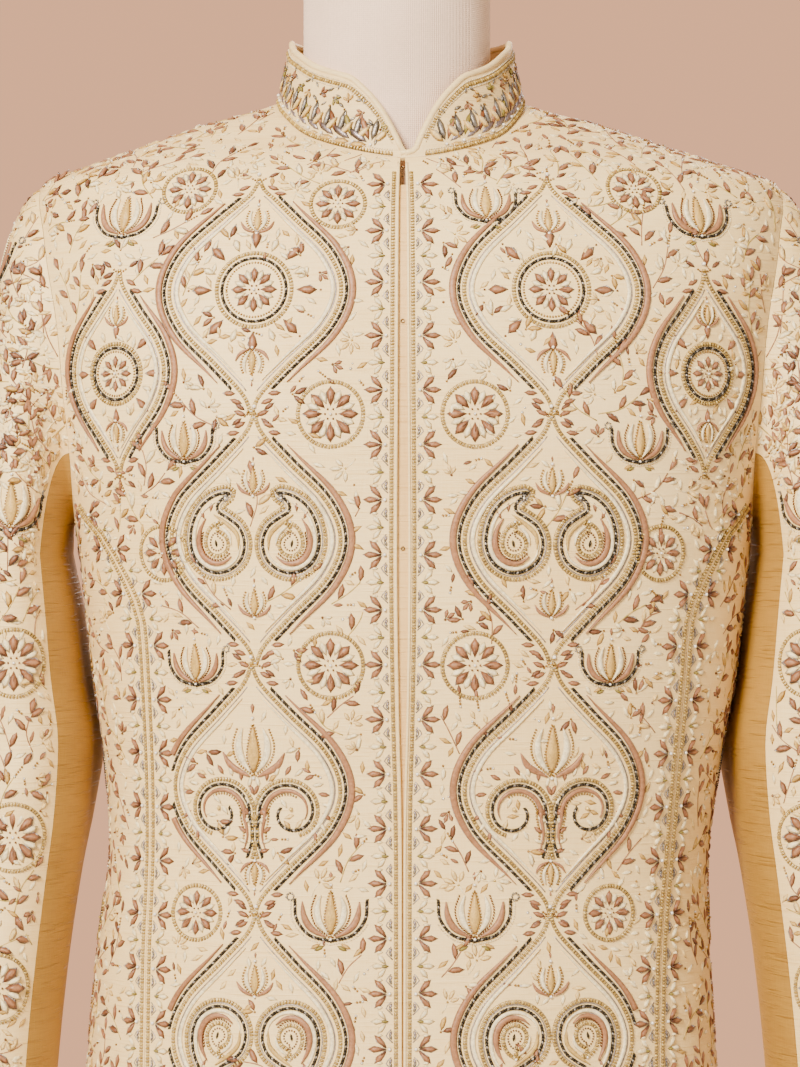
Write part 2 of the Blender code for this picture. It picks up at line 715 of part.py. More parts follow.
def add_stand(materials):
    base_top = BASE_THICKNESS
    boss_top = base_top + BOSS_RISE
    profile = [(0, boss_top), (BOSS_RADIUS - 0.006, boss_top), (BOSS_RADIUS - 0.002, boss_top - 0.004),
               (BOSS_RADIUS, base_top), (BASE_RADIUS - 0.006, base_top), (BASE_RADIUS, base_top - 0.005),
               (BASE_RADIUS, 0.0), (0, 0.0)]
    add_turned("form_base", profile, 40, materials["metal"])
    bottom, top = boss_top + SEAM_GAP, FORM_BOTTOM - SEAM_GAP
    under_flange = top - FLANGE_THICKNESS
    pole = [(0, top), (FLANGE_RADIUS, top), (FLANGE_RADIUS, under_flange),
            (POLE_RADIUS, under_flange - 0.004), (POLE_RADIUS, bottom), (0, bottom)]
    add_turned("form_pole", pole, 20, materials["metal"])
    low = FORM_NECK_TOP + SEAM_GAP
    knob = [(0, low + 0.040), (0.009, low + 0.038), (0.013, low + 0.031), (0.009, low + 0.023),
            (0.007, low + 0.017), (0.030, low + 0.013), (0.052, low + 0.008),
            (KNOB_RADIUS, low + 0.004), (KNOB_RADIUS, low), (0, low)]
    place = (FORM_NECK_SHIFT[0], FORM_NECK_SHIFT[1], 0)
    add_turned("form_neck_cap", knob, 28, materials["form_wood"], place)


def build():
    clear_scene()
    materials = make_materials()
    embroidered, plain = materials["silk_embroidered"], materials["silk_plain"]
    for side, word in ((1, "left"), (-1, "right")):
        add_main_panel(f"front_{word}", side, False, embroidered)
        add_main_panel(f"back_{word}", side, True, embroidered)
        add_side_panel(f"side_{word}", side, embroidered)
        add_sleeve_piece(f"sleeve_{word}_top", side, SLEEVE_BACK_TURN, 360 + SLEEVE_FRONT_TURN, embroidered)
        add_sleeve_piece(f"sleeve_{word}_under", side, SLEEVE_FRONT_TURN, SLEEVE_BACK_TURN, plain)
    add_collar(embroidered)
    add_underlap(plain)
    add_fastenings(materials["metal"])
    add_form_body(materials["form_canvas"])
    add_stand(materials)


build()
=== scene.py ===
import math
from collections import namedtuple

import bpy
import numpy as np
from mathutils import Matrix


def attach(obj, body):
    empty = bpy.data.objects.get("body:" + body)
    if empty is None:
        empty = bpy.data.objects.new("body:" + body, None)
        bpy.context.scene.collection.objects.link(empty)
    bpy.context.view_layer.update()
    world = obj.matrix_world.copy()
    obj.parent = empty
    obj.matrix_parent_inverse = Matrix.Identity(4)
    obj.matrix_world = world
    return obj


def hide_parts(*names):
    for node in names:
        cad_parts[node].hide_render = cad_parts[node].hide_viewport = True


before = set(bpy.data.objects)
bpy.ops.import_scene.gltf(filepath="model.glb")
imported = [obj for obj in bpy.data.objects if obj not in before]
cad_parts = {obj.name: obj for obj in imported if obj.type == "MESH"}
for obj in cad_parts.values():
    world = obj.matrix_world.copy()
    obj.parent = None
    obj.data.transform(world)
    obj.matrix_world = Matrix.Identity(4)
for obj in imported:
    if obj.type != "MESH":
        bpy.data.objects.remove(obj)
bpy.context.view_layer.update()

# The cut of the coat: the same values as the solids, in metres
CLOTH = 0.0017
COLLAR_CLOTH = 0.0022
UNDERLAP_CLOTH = 0.0012
SEAM_GAP = 0.0003
SEAM_HALF = 0.0002
NECK_PIT = 1.433
BACK_NECK = 1.470
NECK_POINT = 1.474
ARMHOLE_HEIGHT = 1.3175
ARMHOLE_RISE = 0.1045
ARMHOLE_FRONT = 0.058
ARMHOLE_BACK = 0.064
ARMHOLE_STEP = 9
FRONT_SEAM_TURN = 144
BACK_SEAM_TURN = 216
SLEEVE_FRONT_TURN = 126
SLEEVE_BACK_TURN = 243
NECK_HALF_WIDTH = 0.0765
NECK_FRONT = 0.077
NECK_BACK = 0.066
NECK_SQUARENESS = 2.05
NECK_TURNS_FRONT = (6, 12, 19, 28, 40, 55, 72, 90)
NECK_TURNS_BACK = (163, 147, 131, 117, 103, 90)
FORM_BOTTOM = 0.800
FORM_NECK_TOP = 1.565
FORM_NECK_RADIUS = 0.0575
FORM_NECK_SHIFT = (-0.009, -0.005)
FORM_ARM_PLATE = 0.2135
FORM_LOOSE = 0.0075
FORM_DROP = 0.0045
OPENING_ACROSS = -0.0055
COLLAR_LEAN = math.radians(12)
HEM = 0.390

Girth = namedtuple("Girth", "height half_width front back squareness")
BODY = [Girth(*row) for row in (
    (0.390, 0.2480, 0.168, 0.176, 2.15), (0.500, 0.2360, 0.156, 0.166, 2.15),
    (0.650, 0.2190, 0.143, 0.152, 2.20), (0.800, 0.2015, 0.130, 0.137, 2.30),
    (0.873, 0.1950, 0.124, 0.127, 2.35), (0.942, 0.1900, 0.119, 0.112, 2.35),
    (1.010, 0.1850, 0.116, 0.102, 2.35), (1.060, 0.1890, 0.118, 0.104, 2.35),
    (1.120, 0.1984, 0.122, 0.115, 2.35), (1.166, 0.2037, 0.125, 0.124, 2.35),
    (1.225, 0.2105, 0.127, 0.132, 2.40), (1.260, 0.2180, 0.127, 0.136, 2.40),
    (1.297, 0.2273, 0.124, 0.137, 2.40), (1.345, 0.2343, 0.117, 0.134, 2.40),
    (1.375, 0.2375, 0.110, 0.127, 2.35), (1.400, 0.2360, 0.100, 0.117, 2.30),
    (1.422, 0.2275, 0.087, 0.107, 2.25), (1.436, 0.1920, 0.074, 0.096, 2.20),
    (1.450, 0.1530, 0.051, 0.086, 2.20), (1.462, 0.1180, 0.034, 0.075, 2.20),
    (1.470, 0.0880, 0.019, 0.066, 2.20), (1.474, 0.0765, 0.013, 0.060, 2.20),
    (1.478, 0.0640, 0.008, 0.053, 2.20),
)]
Hang = namedtuple("Hang", "height across")
HANG = [Hang(*row) for row in (
    (0.390, -0.0065), (0.880, -0.0060), (0.950, -0.0050), (1.020, -0.0010),
    (1.070, 0.0008), (1.130, 0.0020), (1.180, 0.0020), (1.240, 0.0005), (1.400, 0.0000),
    (1.422, -0.0010), (1.440, -0.0035), (1.455, -0.0055), (1.478, -0.0070),
)]
SkirtFold = namedtuple("SkirtFold", "turn width depth top")
SKIRT_FOLDS = [SkirtFold(*row) for row in (
    (45, 9, 0.0047, 0.84), (73, 9, -0.0054, 0.86), (95.5, 9, 0.0070, 0.88),
    (124, 11, -0.0051, 0.84), (152, 10, 0.0060, 0.90), (-44, 9, 0.0045, 0.84),
    (-72, 9, -0.0055, 0.86), (-95, 9, 0.0070, 0.88), (-125, 11, -0.0050, 0.84),
    (-153, 10, 0.0060, 0.90),
)]
FRONT_EDGE = [Hang(*row) for row in (
    (0.390, 0.0060), (0.600, 0.0016), (0.800, 0.0004), (1.010, 0.0004), (1.050, 0.0008),
    (1.100, 0.0021), (1.190, 0.0032), (1.300, 0.0027), (1.400, 0.0023), (1.433, 0.0015),
)]
FRONT_SIDE_SEAM = [Hang(*row) for row in (
    (0.390, 0.1880), (0.600, 0.1680), (0.800, 0.1560), (0.873, 0.1540), (0.950, 0.1545),
    (1.040, 0.1570), (1.120, 0.1615), (1.155, 0.1640), (1.180, 0.1735), (1.208, 0.1895),
)]
BACK_SIDE_SEAM = [Hang(*row) for row in (
    (0.390, 0.1560), (0.600, 0.1400), (0.800, 0.1280), (0.950, 0.1150), (1.040, 0.1150),
    (1.120, 0.1330), (1.180, 0.1620), (1.208, 0.1860),
)]
PANEL_HEIGHTS = (
    0.390, 0.455, 0.520, 0.590, 0.660, 0.730, 0.800, 0.850, 0.900,
    0.950, 1.000, 1.040, 1.080, 1.120, 1.155, 1.180, 1.208,
)
FRONT_HEIGHTS = (1.263, 1.293, 1.322, 1.349, 1.374, 1.397, 1.416, NECK_PIT)
BACK_HEIGHTS = (1.257, 1.281, 1.305, 1.329, 1.353, 1.377, 1.401, 1.424, 1.448, BACK_NECK)
SleeveRing = namedtuple("SleeveRing", "height inner outer forward half_depth tuck")
SLEEVE = [SleeveRing(*row) for row in (
    (1.195, 0.2125, 0.2700, 0.004, 0.084, 0.006), (1.160, 0.2075, 0.2740, 0.003, 0.082, 0.013),
    (1.120, 0.2025, 0.2770, 0.001, 0.079, 0.018), (1.080, 0.1965, 0.2790, 0.000, 0.076, 0.020),
    (1.040, 0.1990, 0.2805, -0.002, 0.0735, 0.012), (1.000, 0.2045, 0.2830, -0.006, 0.071, 0.004),
    (0.950, 0.2110, 0.2865, -0.012, 0.068, 0.0), (0.900, 0.2160, 0.2895, -0.019, 0.0645, 0.0),
    (0.850, 0.2195, 0.2910, -0.027, 0.061, 0.0), (0.795, 0.2215, 0.2905, -0.034, 0.058, 0.0),
)]
CAP_STEPS = (0.0, 0.05, 0.14, 0.27, 0.43, 0.61, 0.80)
CollarPoint = namedtuple("CollarPoint", "along height")
COLLAR = [CollarPoint(*row) for row in (
    (0.000, 0.0030), (0.006, 0.0045), (0.0105, 0.0135), (0.0215, 0.0300), (0.0320, 0.0385),
    (0.0470, 0.0445), (0.0680, 0.0435), (0.0950, 0.0405), (0.1210, 0.0380), (0.1600, 0.0380),
    (0.2300, 0.0400),
)]

# Main creases, listed one by one: soft troughs and ridges along a line through a point
Crease = namedtuple("Crease", "x y z dx dy dz width run depth")
CREASES = [Crease(*row) for row in (
    (0.186, -0.100, 1.235, -0.62, -0.30, 0.72, 0.0110, 0.045, -0.0016),
    (0.170, -0.108, 1.212, -0.70, -0.25, 0.66, 0.0100, 0.040, 0.0013),
    (-0.186, -0.100, 1.240, 0.62, -0.30, 0.72, 0.0110, 0.045, -0.0016),
    (-0.168, -0.108, 1.214, 0.70, -0.25, 0.66, 0.0100, 0.040, 0.0013),
    (0.245, -0.085, 1.205, 0.75, 0.10, 0.55, 0.0090, 0.030, -0.0016),
    (-0.245, -0.085, 1.210, -0.75, 0.10, 0.55, 0.0090, 0.030, -0.0016),
    (0.240, -0.074, 1.080, 0.92, 0.20, 0.25, 0.0085, 0.034, -0.0018),
    (0.238, -0.073, 1.052, 0.96, 0.20, -0.15, 0.0085, 0.036, 0.0015),
    (0.242, -0.072, 1.024, 0.95, 0.20, 0.20, 0.0090, 0.034, -0.0014),
    (-0.240, -0.074, 1.086, -0.92, 0.20, 0.25, 0.0085, 0.034, -0.0018),
    (-0.238, -0.073, 1.056, -0.96, 0.20, -0.15, 0.0085, 0.036, 0.0015),
    (-0.242, -0.072, 1.028, -0.95, 0.20, 0.20, 0.0090, 0.034, -0.0014),
    (0.120, -0.115, 1.015, 1.00, 0.15, 0.10, 0.0120, 0.050, -0.0009),
    (-0.125, -0.115, 1.020, -1.00, 0.15, 0.10, 0.0120, 0.050, -0.0009),
    (0.110, 0.105, 1.045, 1.00, -0.10, 0.08, 0.0130, 0.060, -0.0020),
    (-0.105, 0.105, 1.040, -1.00, -0.10, 0.12, 0.0130, 0.060, -0.0020),
    (0.060, 0.110, 1.010, 1.00, 0.00, -0.05, 0.0120, 0.050, 0.0014),
    (0.150, 0.110, 1.290, -0.35, 0.10, 0.93, 0.0120, 0.050, -0.0014),
    (-0.150, 0.110, 1.290, 0.35, 0.10, 0.93, 0.0120, 0.050, -0.0014),
    (0.262, 0.030, 1.250, 0.10, 0.35, -0.93, 0.0110, 0.050, -0.0012),
    (-0.262, 0.030, 1.250, -0.10, 0.35, -0.93, 0.0110, 0.050, -0.0012),
)]

# What is sewn on: a line is a thread, a twisted cord or a row of beads
Line = namedtuple("Line", "style width height pitch tint second piece")


def dye(red, green, blue):
    """A colour seen on a screen, as the shader's own numbers."""
    shares = np.array([red, green, blue]) / 255
    curved = ((shares + 0.055) / 1.055) ** 2.4
    return tuple(float(share) for share in np.where(shares > 0.04045, curved, shares / 12.92))


IVORY = dye(255, 241, 200)
CREAM = dye(244, 218, 154)
STRAW = dye(212, 176, 98)
OLIVE = dye(158, 142, 62)
PINK = dye(170, 120, 84)
DEEP_PINK = dye(134, 86, 56)
RUST = dye(112, 64, 38)
COPPER = dye(134, 80, 40)
GOLD = dye(180, 132, 56)
OLIVE_GOLD = dye(184, 150, 66)
PALE_GOLD = dye(224, 194, 110)
DARK_SILVER = dye(70, 62, 52)
SILVER = dye(164, 158, 154)
LILAC = dye(170, 158, 166)
CRYSTAL = dye(250, 246, 240)

DARK_CORD = Line("cord", 0.0033, 0.0016, 0.00190, DARK_SILVER, SILVER, "metal")
IVORY_CORD = Line("cord", 0.0016, 0.0010, 0.00150, dye(252, 240, 208), dye(238, 220, 176), "silk")
SILVER_CORD = Line("cord", 0.0021, 0.0012, 0.00165, SILVER, dye(140, 134, 132), "metal")
COPPER_CORD = Line("cord", 0.0020, 0.0012, 0.00165, COPPER, dye(120, 82, 52), "metal")
RING_BEADS = Line("rings", 0.0027, 0.0016, 0.00195, OLIVE_GOLD, PALE_GOLD, "pearls")
GOLD_BEADS = Line("seeds", 0.0021, 0.0014, 0.00175, GOLD, OLIVE_GOLD, "beads")
COPPER_BEADS = Line("seeds", 0.0018, 0.0012, 0.00165, COPPER, RUST, "beads")
SILVER_THREAD = Line("thread", 0.0012, 0.0006, 0.0024, SILVER, LILAC, "metal")
PINK_THREAD = Line("thread", 0.0012, 0.0006, 0.0036, PINK, DEEP_PINK, "silk")
IVORY_THREAD = Line("thread", 0.0013, 0.0006, 0.0036, IVORY, CREAM, "silk")
STRAW_THREAD = Line("thread", 0.0012, 0.0006, 0.0036, STRAW, OLIVE, "silk")

# Across a thread and across a band of satin stitch: (side, height), each as a share
THREAD = np.array([(-0.5, 0.0), (0.5, 0.0), (0.0, 1.0)])
SATIN = np.array([(-0.5, 0.0), (0.5, 0.0), (0.28, 1.0), (-0.28, 1.0)])


class Wire:
    """What leaves a socket. Sums on it add Math nodes, whichever side the number is on."""

    def __init__(self, finish, socket):
        self.finish, self.socket = finish, socket

    def maths(self, operation, first, second):
        return self.finish.node("ShaderNodeMath", {"operation": operation}, {0: first, 1: second})

    def __add__(self, other):
        return self.maths("ADD", self, other)

    def __sub__(self, other):
        return self.maths("SUBTRACT", self, other)

    def __rsub__(self, other):
        return self.maths("SUBTRACT", other, self)

    def __mul__(self, other):
        return self.maths("MULTIPLY", self, other)

    __radd__ = __add__
    __rmul__ = __mul__


class Finish:
    """One material, or the studio's air. Its constants are set on the shader, and what varies
    is wired to it."""

    def __init__(self, name, constants, kept=None, shader="Principled BSDF"):
        self.material = kept or bpy.data.materials.new(name)
        self.material.use_nodes = True
        self.tree = self.material.node_tree
        self.shader = self.tree.nodes[shader]
        for socket, value in constants.items():
            self.vary(socket, value)

    def feed(self, inlet, value):
        if isinstance(value, Wire):
            self.tree.links.new(value.socket, inlet)
        elif inlet.type == "RGBA":
            inlet.default_value = (*value, 1)
        else:
            inlet.default_value = value

    def vary(self, socket, value):
        self.feed(self.shader.inputs[socket], value)

    def node(self, kind, settings=None, sockets=None, outlet=0):
        made = self.tree.nodes.new(kind)
        for name, value in (settings or {}).items():
            if name == "stops":
                ramp = made.color_ramp
                while len(ramp.elements) < len(value):
                    ramp.elements.new(0.5)
                for element, (position, colour) in zip(ramp.elements, value):
                    element.position, element.color = position, (*colour, 1)
            else:
                setattr(made, name, value)
        for name, value in (sockets or {}).items():
            self.feed(made.inputs[name], value)
        return Wire(self, made.outputs[outlet])

    def place(self):
        return self.node("ShaderNodeTexCoord", outlet=3)

    def stretched(self, vector, scales):
        return self.node("ShaderNodeVectorMath", {"operation": "MULTIPLY"}, {0: vector, 1: scales})

    def noise(self, vector, scales, detail=2.0):
        """Noise with its own fineness, per metre, along x, y and z; 0 to 1."""
        sockets = {"Vector": self.stretched(vector, scales), "Scale": 1.0, "Detail": detail}
        return self.node("ShaderNodeTexNoise", None, sockets)

    def between(self, value, low, high):
        """0 below low, 1 above high."""
        sockets = {"Value": value, "From Min": low, "From Max": high}
        return self.node("ShaderNodeMapRange", {"interpolation_type": "SMOOTHSTEP"}, sockets)

    def mix(self, share, first, second, blend="MIX"):
        settings = {"data_type": "RGBA", "blend_type": blend}
        return self.node("ShaderNodeMix", settings, {0: share, 6: first, 7: second}, 2)

    def tint(self):
        return self.node("ShaderNodeAttribute", {"attribute_name": "tint"})

    def raise_by(self, height, distance, strength=1.0):
        sockets = {"Height": height, "Distance": distance, "Strength": strength}
        self.vary("Normal", self.node("ShaderNodeBump", None, sockets))


def raw_silk(name, light, dark, roughness, sheen, slub_depth, slub_tone):
    """Hand-loomed silk: long slubs lie across the cloth, over a fine uneven weave."""
    cloth = Finish(name, {"Sheen Weight": sheen, "Sheen Roughness": 0.35,
                          "Sheen Tint": light, "Specular IOR Level": 0.4})
    place = cloth.place()
    weft = cloth.noise(place, (60, 60, 1500), 3)
    slub = cloth.between(cloth.noise(place, (24, 24, 620), 1), 0.56, 0.72)
    warp = cloth.noise(place, (1500, 1500, 70), 2)
    cloud = cloth.noise(place, (9, 9, 9), 2)
    tone = weft * 0.42 + warp * 0.20 + cloud * 0.38 - slub * slub_tone
    cloth.vary("Base Color", cloth.mix(cloth.between(tone, 0.20, 0.62), dark, light))
    cloth.vary("Roughness", roughness + 0.14 * weft - 0.10 * slub)
    cloth.raise_by(weft * 0.5 + warp * 0.3 + slub * slub_depth, 0.0005, 0.8)
    return cloth.material


def silk_thread():
    """Floss laid in satin stitch: a soft gloss that follows the strands."""
    floss = Finish("silk_floss", {"Sheen Weight": 0.35, "Sheen Roughness": 0.3,
                                  "Specular IOR Level": 0.5})
    place = floss.place()
    strand = floss.noise(place, (900, 900, 900), 2)
    patch = floss.noise(place, (160, 160, 160), 1)
    # Painted shade and sheen: strand noise darkens the tint to 0.72 and lightens it to 1.10
    painted_shade_and_highlight = floss.mix(floss.between(strand * 0.6 + patch * 0.4, 0.3, 0.7), (0.72, 0.68, 0.62),
                       (1.10, 1.10, 1.10))
    floss.vary("Base Color", floss.mix(1.0, floss.tint(), painted_shade_and_highlight, "MULTIPLY"))
    floss.vary("Roughness", 0.34 + 0.25 * strand)
    floss.raise_by(strand, 0.0003)
    return floss.material


def metal_thread():
    """Zari and twisted cord: metal wound on thread, with painted shade in the hollows of the winding and
    painted glints on its turns.
    """
    zari = Finish("zari", {"Metallic": 0.72, "Specular IOR Level": 0.5})
    place = zari.place()
    wind = zari.noise(place, (1100, 1100, 1100), 2)
    worn = zari.noise(place, (220, 220, 220), 1)
    # Painted shade and glints: winding noise darkens the tint to about 0.6 and lightens it to about 1.2
    painted_shade_and_highlight = zari.mix(zari.between(wind, 0.3, 0.7), (0.62, 0.60, 0.56), (1.25, 1.22, 1.15))
    zari.vary("Base Color", zari.mix(1.0, zari.tint(), painted_shade_and_highlight, "MULTIPLY"))
    zari.vary("Roughness", 0.28 + 0.25 * worn)
    zari.raise_by(wind, 0.0003)
    return zari.material


def cut_bead():
    """Small glass and metal beads, with painted highlights and shade: noise spots lighten or darken their
    colour.
    """
    bead = Finish("cut_bead", {"Metallic": 0.55, "Coat Weight": 0.5, "Coat Roughness": 0.1})
    spot = bead.noise(bead.place(), (500, 500, 500), 1)
    # Painted highlights and shade: noise spots scale the tint from 0.75 to 1.15
    painted_shade_and_highlight = bead.mix(bead.between(spot, 0.35, 0.65), (0.75, 0.72, 0.66), (1.15, 1.15, 1.12))
    bead.vary("Base Color", bead.mix(1.0, bead.tint(), painted_shade_and_highlight, "MULTIPLY"))
    bead.vary("Roughness", 0.18 + 0.2 * spot)
    return bead.material


def pearl_bead():
    pearl = Finish("pearl_bead", {"Coat Weight": 0.6, "Coat Roughness": 0.12,
                                  "Specular IOR Level": 0.6, "Sheen Weight": 0.1})
    spot = pearl.noise(pearl.place(), (400, 400, 400), 1)
    # Painted highlights and shade: noise spots scale the pearl's tint from 0.86 to 1.08
    painted_shade_and_highlight = pearl.mix(pearl.between(spot, 0.3, 0.7), (0.86, 0.82, 0.76), (1.08, 1.06, 1.04))
    pearl.vary("Base Color", pearl.mix(1.0, pearl.tint(), painted_shade_and_highlight, "MULTIPLY"))
    pearl.vary("Roughness", 0.20 + 0.12 * spot)
    return pearl.material


def canvas():
    """The form's cover: a fine upright rib in cream cloth."""
    cover = Finish("form_canvas_ribbed", {"Sheen Weight": 0.3, "Sheen Roughness": 0.6,
                                          "Specular IOR Level": 0.2})
    place = cover.place()
    parts = {name: cover.node("ShaderNodeSeparateXYZ", None, {"Vector": place}, i)
             for i, name in enumerate("xyz")}
    turn = parts["x"].maths("ARCTAN2", parts["x"] + 0.009, parts["y"] + 0.005)
    rib = (turn * 300).maths("SINE", turn * 300, 0.0)
    cross_rib = parts["z"].maths("SINE", parts["z"] * 5200, 0.0)
    dust = cover.noise(place, (12, 12, 12), 3)
    fleck = cover.noise(place, (700, 700, 700), 2)
    tone = dust * 0.55 + fleck * 0.25 + rib * 0.06 + cross_rib * 0.03
    light, dark = dye(248, 218, 195), dye(226, 198, 175)
    cover.vary("Base Color", cover.mix(cover.between(tone, 0.22, 0.55), dark, light))
    cover.vary("Roughness", 0.80 + 0.12 * fleck)
    cover.raise_by(rib * 0.5 + cross_rib * 0.25 + fleck * 0.3, 0.0003, 0.7)
    return cover.material


def varnished_wood():
    wood = Finish("varnished_wood", {"Coat Weight": 0.4, "Coat Roughness": 0.2})
    grain = wood.noise(wood.place(), (26, 220, 60), 4)
    wood.vary("Base Color", wood.mix(wood.between(grain, 0.35, 0.68), dye(92, 58, 34), dye(142, 98, 60)))
    wood.vary("Roughness", 0.32 + 0.2 * grain)
    wood.raise_by(grain, 0.0002, 0.5)
    return wood.material


def painted_metal():
    paint = Finish("stand_paint", {"Metallic": 0.35, "Coat Weight": 0.2, "Coat Roughness": 0.3})
    place = paint.place()
    fine, broad = paint.noise(place, (900, 900, 900), 2), paint.noise(place, (14, 14, 14), 2)
    paint.vary("Base Color", paint.mix(paint.between(broad, 0.3, 0.7), dye(58, 52, 47), dye(78, 71, 64)))
    paint.vary("Roughness", 0.36 + 0.14 * fine)
    paint.raise_by(fine, 0.0001, 0.5)
    return paint.material


def bronze_wire():
    wire = Finish("bronze_wire", {"Metallic": 0.9})
    worn = wire.noise(wire.place(), (1500, 1500, 1500), 2)
    wire.vary("Base Color", wire.mix(wire.between(worn, 0.3, 0.7), dye(84, 62, 42), dye(150, 118, 78)))
    wire.vary("Roughness", 0.28 + 0.2 * worn)
    return wire.material


def smooth_through(xs, ys, at):
    """A curve through the points that never overshoots them (a monotone cubic)."""
    xs, ys, at = np.asarray(xs, float), np.asarray(ys, float), np.asarray(at, float)
    step, rise = np.diff(xs), np.diff(ys)
    slope = rise / step
    tangent = np.concatenate([slope[:1], np.zeros(len(xs) - 2), slope[-1:]])
    same_way = slope[:-1] * slope[1:] > 0
    weight_a, weight_b = 2 * step[1:] + step[:-1], step[1:] + 2 * step[:-1]
    safe_a = np.where(same_way, slope[:-1], 1.0)
    safe_b = np.where(same_way, slope[1:], 1.0)
    mean = (weight_a + weight_b) / (weight_a / safe_a + weight_b / safe_b)
    tangent[1:-1] = np.where(same_way, mean, 0.0)
    k = np.clip(np.searchsorted(xs, at, side="right") - 1, 0, len(xs) - 2)
    t = np.clip((at - xs[k]) / step[k], 0.0, 1.0)
    return (
        (2 * t**3 - 3 * t**2 + 1) * ys[k]
        + (t**3 - 2 * t**2 + t) * step[k] * tangent[k]
        + (3 * t**2 - 2 * t**3) * ys[k + 1]
        + (t**3 - t**2) * step[k] * tangent[k + 1]
    )


def column(table, name, at):
    return smooth_through([row[0] for row in table], [getattr(row, name) for row in table], at)


def smooth_step(low, high, value):
    t = np.clip((np.asarray(value, float) - low) / (high - low), 0.0, 1.0)
    return t * t * (3 - 2 * t)


def unit(vectors):
    return vectors / np.maximum(np.linalg.norm(vectors, axis=-1, keepdims=True), 1e-12)


def squared_round(turn, half_width, front, back, squareness):
    depth = np.where(np.cos(turn) > 0, front, back)
    share = np.abs(np.sin(turn) / half_width) ** squareness
    share = share + np.abs(np.cos(turn) / depth) ** squareness
    return share ** (-1 / squareness)


def body_radius(turn, height):
    turn, height = np.broadcast_arrays(np.asarray(turn, float), np.asarray(height, float))
    radius = squared_round(turn, *(column(BODY, name, height) for name in Girth._fields[1:]))
    for fold in SKIRT_FOLDS:
        away = (np.degrees(turn) - fold.turn + 180) % 360 - 180
        hang = smooth_step(fold.top, HEM, height)
        radius = radius + fold.depth * hang * np.exp(-((away / fold.width) ** 2))
    return radius


def half_axes(cosine, height):
    front, back = column(BODY, "front", height), column(BODY, "back", height)
    return column(BODY, "half_width", height), np.where(cosine > 0, front, back)


def turn_of(station, height):
    half_width, depth = half_axes(np.cos(station), height)
    return np.arctan2(half_width * np.sin(station), depth * np.cos(station))


def station_of(turn, height):
    half_width, depth = half_axes(np.cos(turn), height)
    return np.arctan2(depth * np.sin(turn), half_width * np.cos(turn))


def body_point(station, height):
    station, height = np.broadcast_arrays(np.asarray(station, float), np.asarray(height, float))
    turn = turn_of(station, height)
    radius = body_radius(turn, height)
    x = radius * np.sin(turn) + column(HANG, "across", height)
    return np.stack([x, -radius * np.cos(turn), height], axis=-1)


def body_normal(station, height):
    station_step, height_step = 1e-3, 5e-4
    top = np.minimum(np.asarray(height, float) + height_step, BODY[-1].height)
    round_it = body_point(station + station_step, height) - body_point(station - station_step, height)
    up = body_point(station, top) - body_point(station, top - 2 * height_step)
    return unit(np.cross(round_it, up))


def station_at_across(across, height, back=False):
    stations = np.radians(np.linspace(180, 91, 180) if back else np.linspace(-89, 89, 357))
    x = body_point(stations, height)[:, 0] - column(HANG, "across", height)
    return float(np.interp(across, x, stations))


def opening_station(side, height):
    middle = OPENING_ACROSS - column(HANG, "across", height)
    return station_at_across(middle + side * column(FRONT_EDGE, "across", height), height)


def armhole_point(turn_degrees, side):
    """(station, height) of an armhole point: turn 0 is the shoulder tip, 90 the front."""
    turn = math.radians(turn_degrees)
    height = ARMHOLE_HEIGHT + ARMHOLE_RISE * math.cos(turn)
    reach = ARMHOLE_FRONT if turn_degrees <= 180 else ARMHOLE_BACK
    y = -reach * math.sin(turn)
    half_width, front, back, squareness = [
        float(column(BODY, name, height)) for name in Girth._fields[1:]
    ]
    depth = front if y <= 0 else back
    x = half_width * (1 - abs(y / depth) ** squareness) ** (1 / squareness)
    return side * float(station_of(math.atan2(x, -y), height)), height


def neckline_point(turn):
    radius = squared_round(turn, NECK_HALF_WIDTH, NECK_FRONT, NECK_BACK, NECK_SQUARENESS)
    heights = np.linspace(1.405, BODY[-1].height, 300)
    radii = body_radius(np.full_like(heights, turn), heights)
    height = float(np.interp(-radius, -radii, heights))
    return float(station_of(turn, height)), height


def finer(values, counts):
    """The values with that many equal steps between each and the next."""
    values = np.asarray(values, float)
    parts = [
        values[i] + (values[i + 1] - values[i]) * np.arange(count)[:, None] / count
        if values.ndim > 1 else values[i] + (values[i + 1] - values[i]) * np.arange(count) / count
        for i, count in enumerate(counts)
    ]
    return np.concatenate([*parts, values[-1:]])


SHELL_CELL = 0.0092
BODY_CELL = 0.0122
LOW_COUNTS = [max(1, round((b - a) / BODY_CELL)) for a, b in zip(PANEL_HEIGHTS, PANEL_HEIGHTS[1:])]
SEAM_COUNT = 3
TOP_COUNT = 3


def main_panel_grid(side, back):
    """Stations and heights of a front or back panel, hem to shoulder, centre edge to armhole."""
    seam = BACK_SIDE_SEAM if back else FRONT_SIDE_SEAM
    neck_turns = NECK_TURNS_BACK if back else NECK_TURNS_FRONT
    upper = BACK_HEIGHTS if back else FRONT_HEIGHTS
    low = finer(PANEL_HEIGHTS, LOW_COUNTS)
    outer = [(side * station_at_across(column(seam, "across", h), h, back), h) for h in low]
    first = armhole_point(360 - FRONT_SEAM_TURN if back else FRONT_SEAM_TURN, side)
    outer += list(finer([outer[-1], first], [SEAM_COUNT])[1:])
    turns = np.arange(FRONT_SEAM_TURN, -0.01, -ARMHOLE_STEP / TOP_COUNT)[1:]
    outer += [armhole_point(360 - turn if back else turn, side) for turn in turns]
    inner_heights = np.concatenate([
        low, finer([PANEL_HEIGHTS[-1], first[1]], [SEAM_COUNT])[1:],
        finer([first[1], *upper], [TOP_COUNT] * len(upper))[1:],
    ])
    inner = [(side * math.pi if back else opening_station(side, h), h) for h in inner_heights]
    inner += neck_run(neck_turns, inner[-1], side, TOP_COUNT)
    inner, outer = np.array(inner), np.array(outer)
    share = np.linspace(0, 1, 25)[None, :, None]
    return inner[:, None, :] * (1 - share) + outer[:, None, :] * share


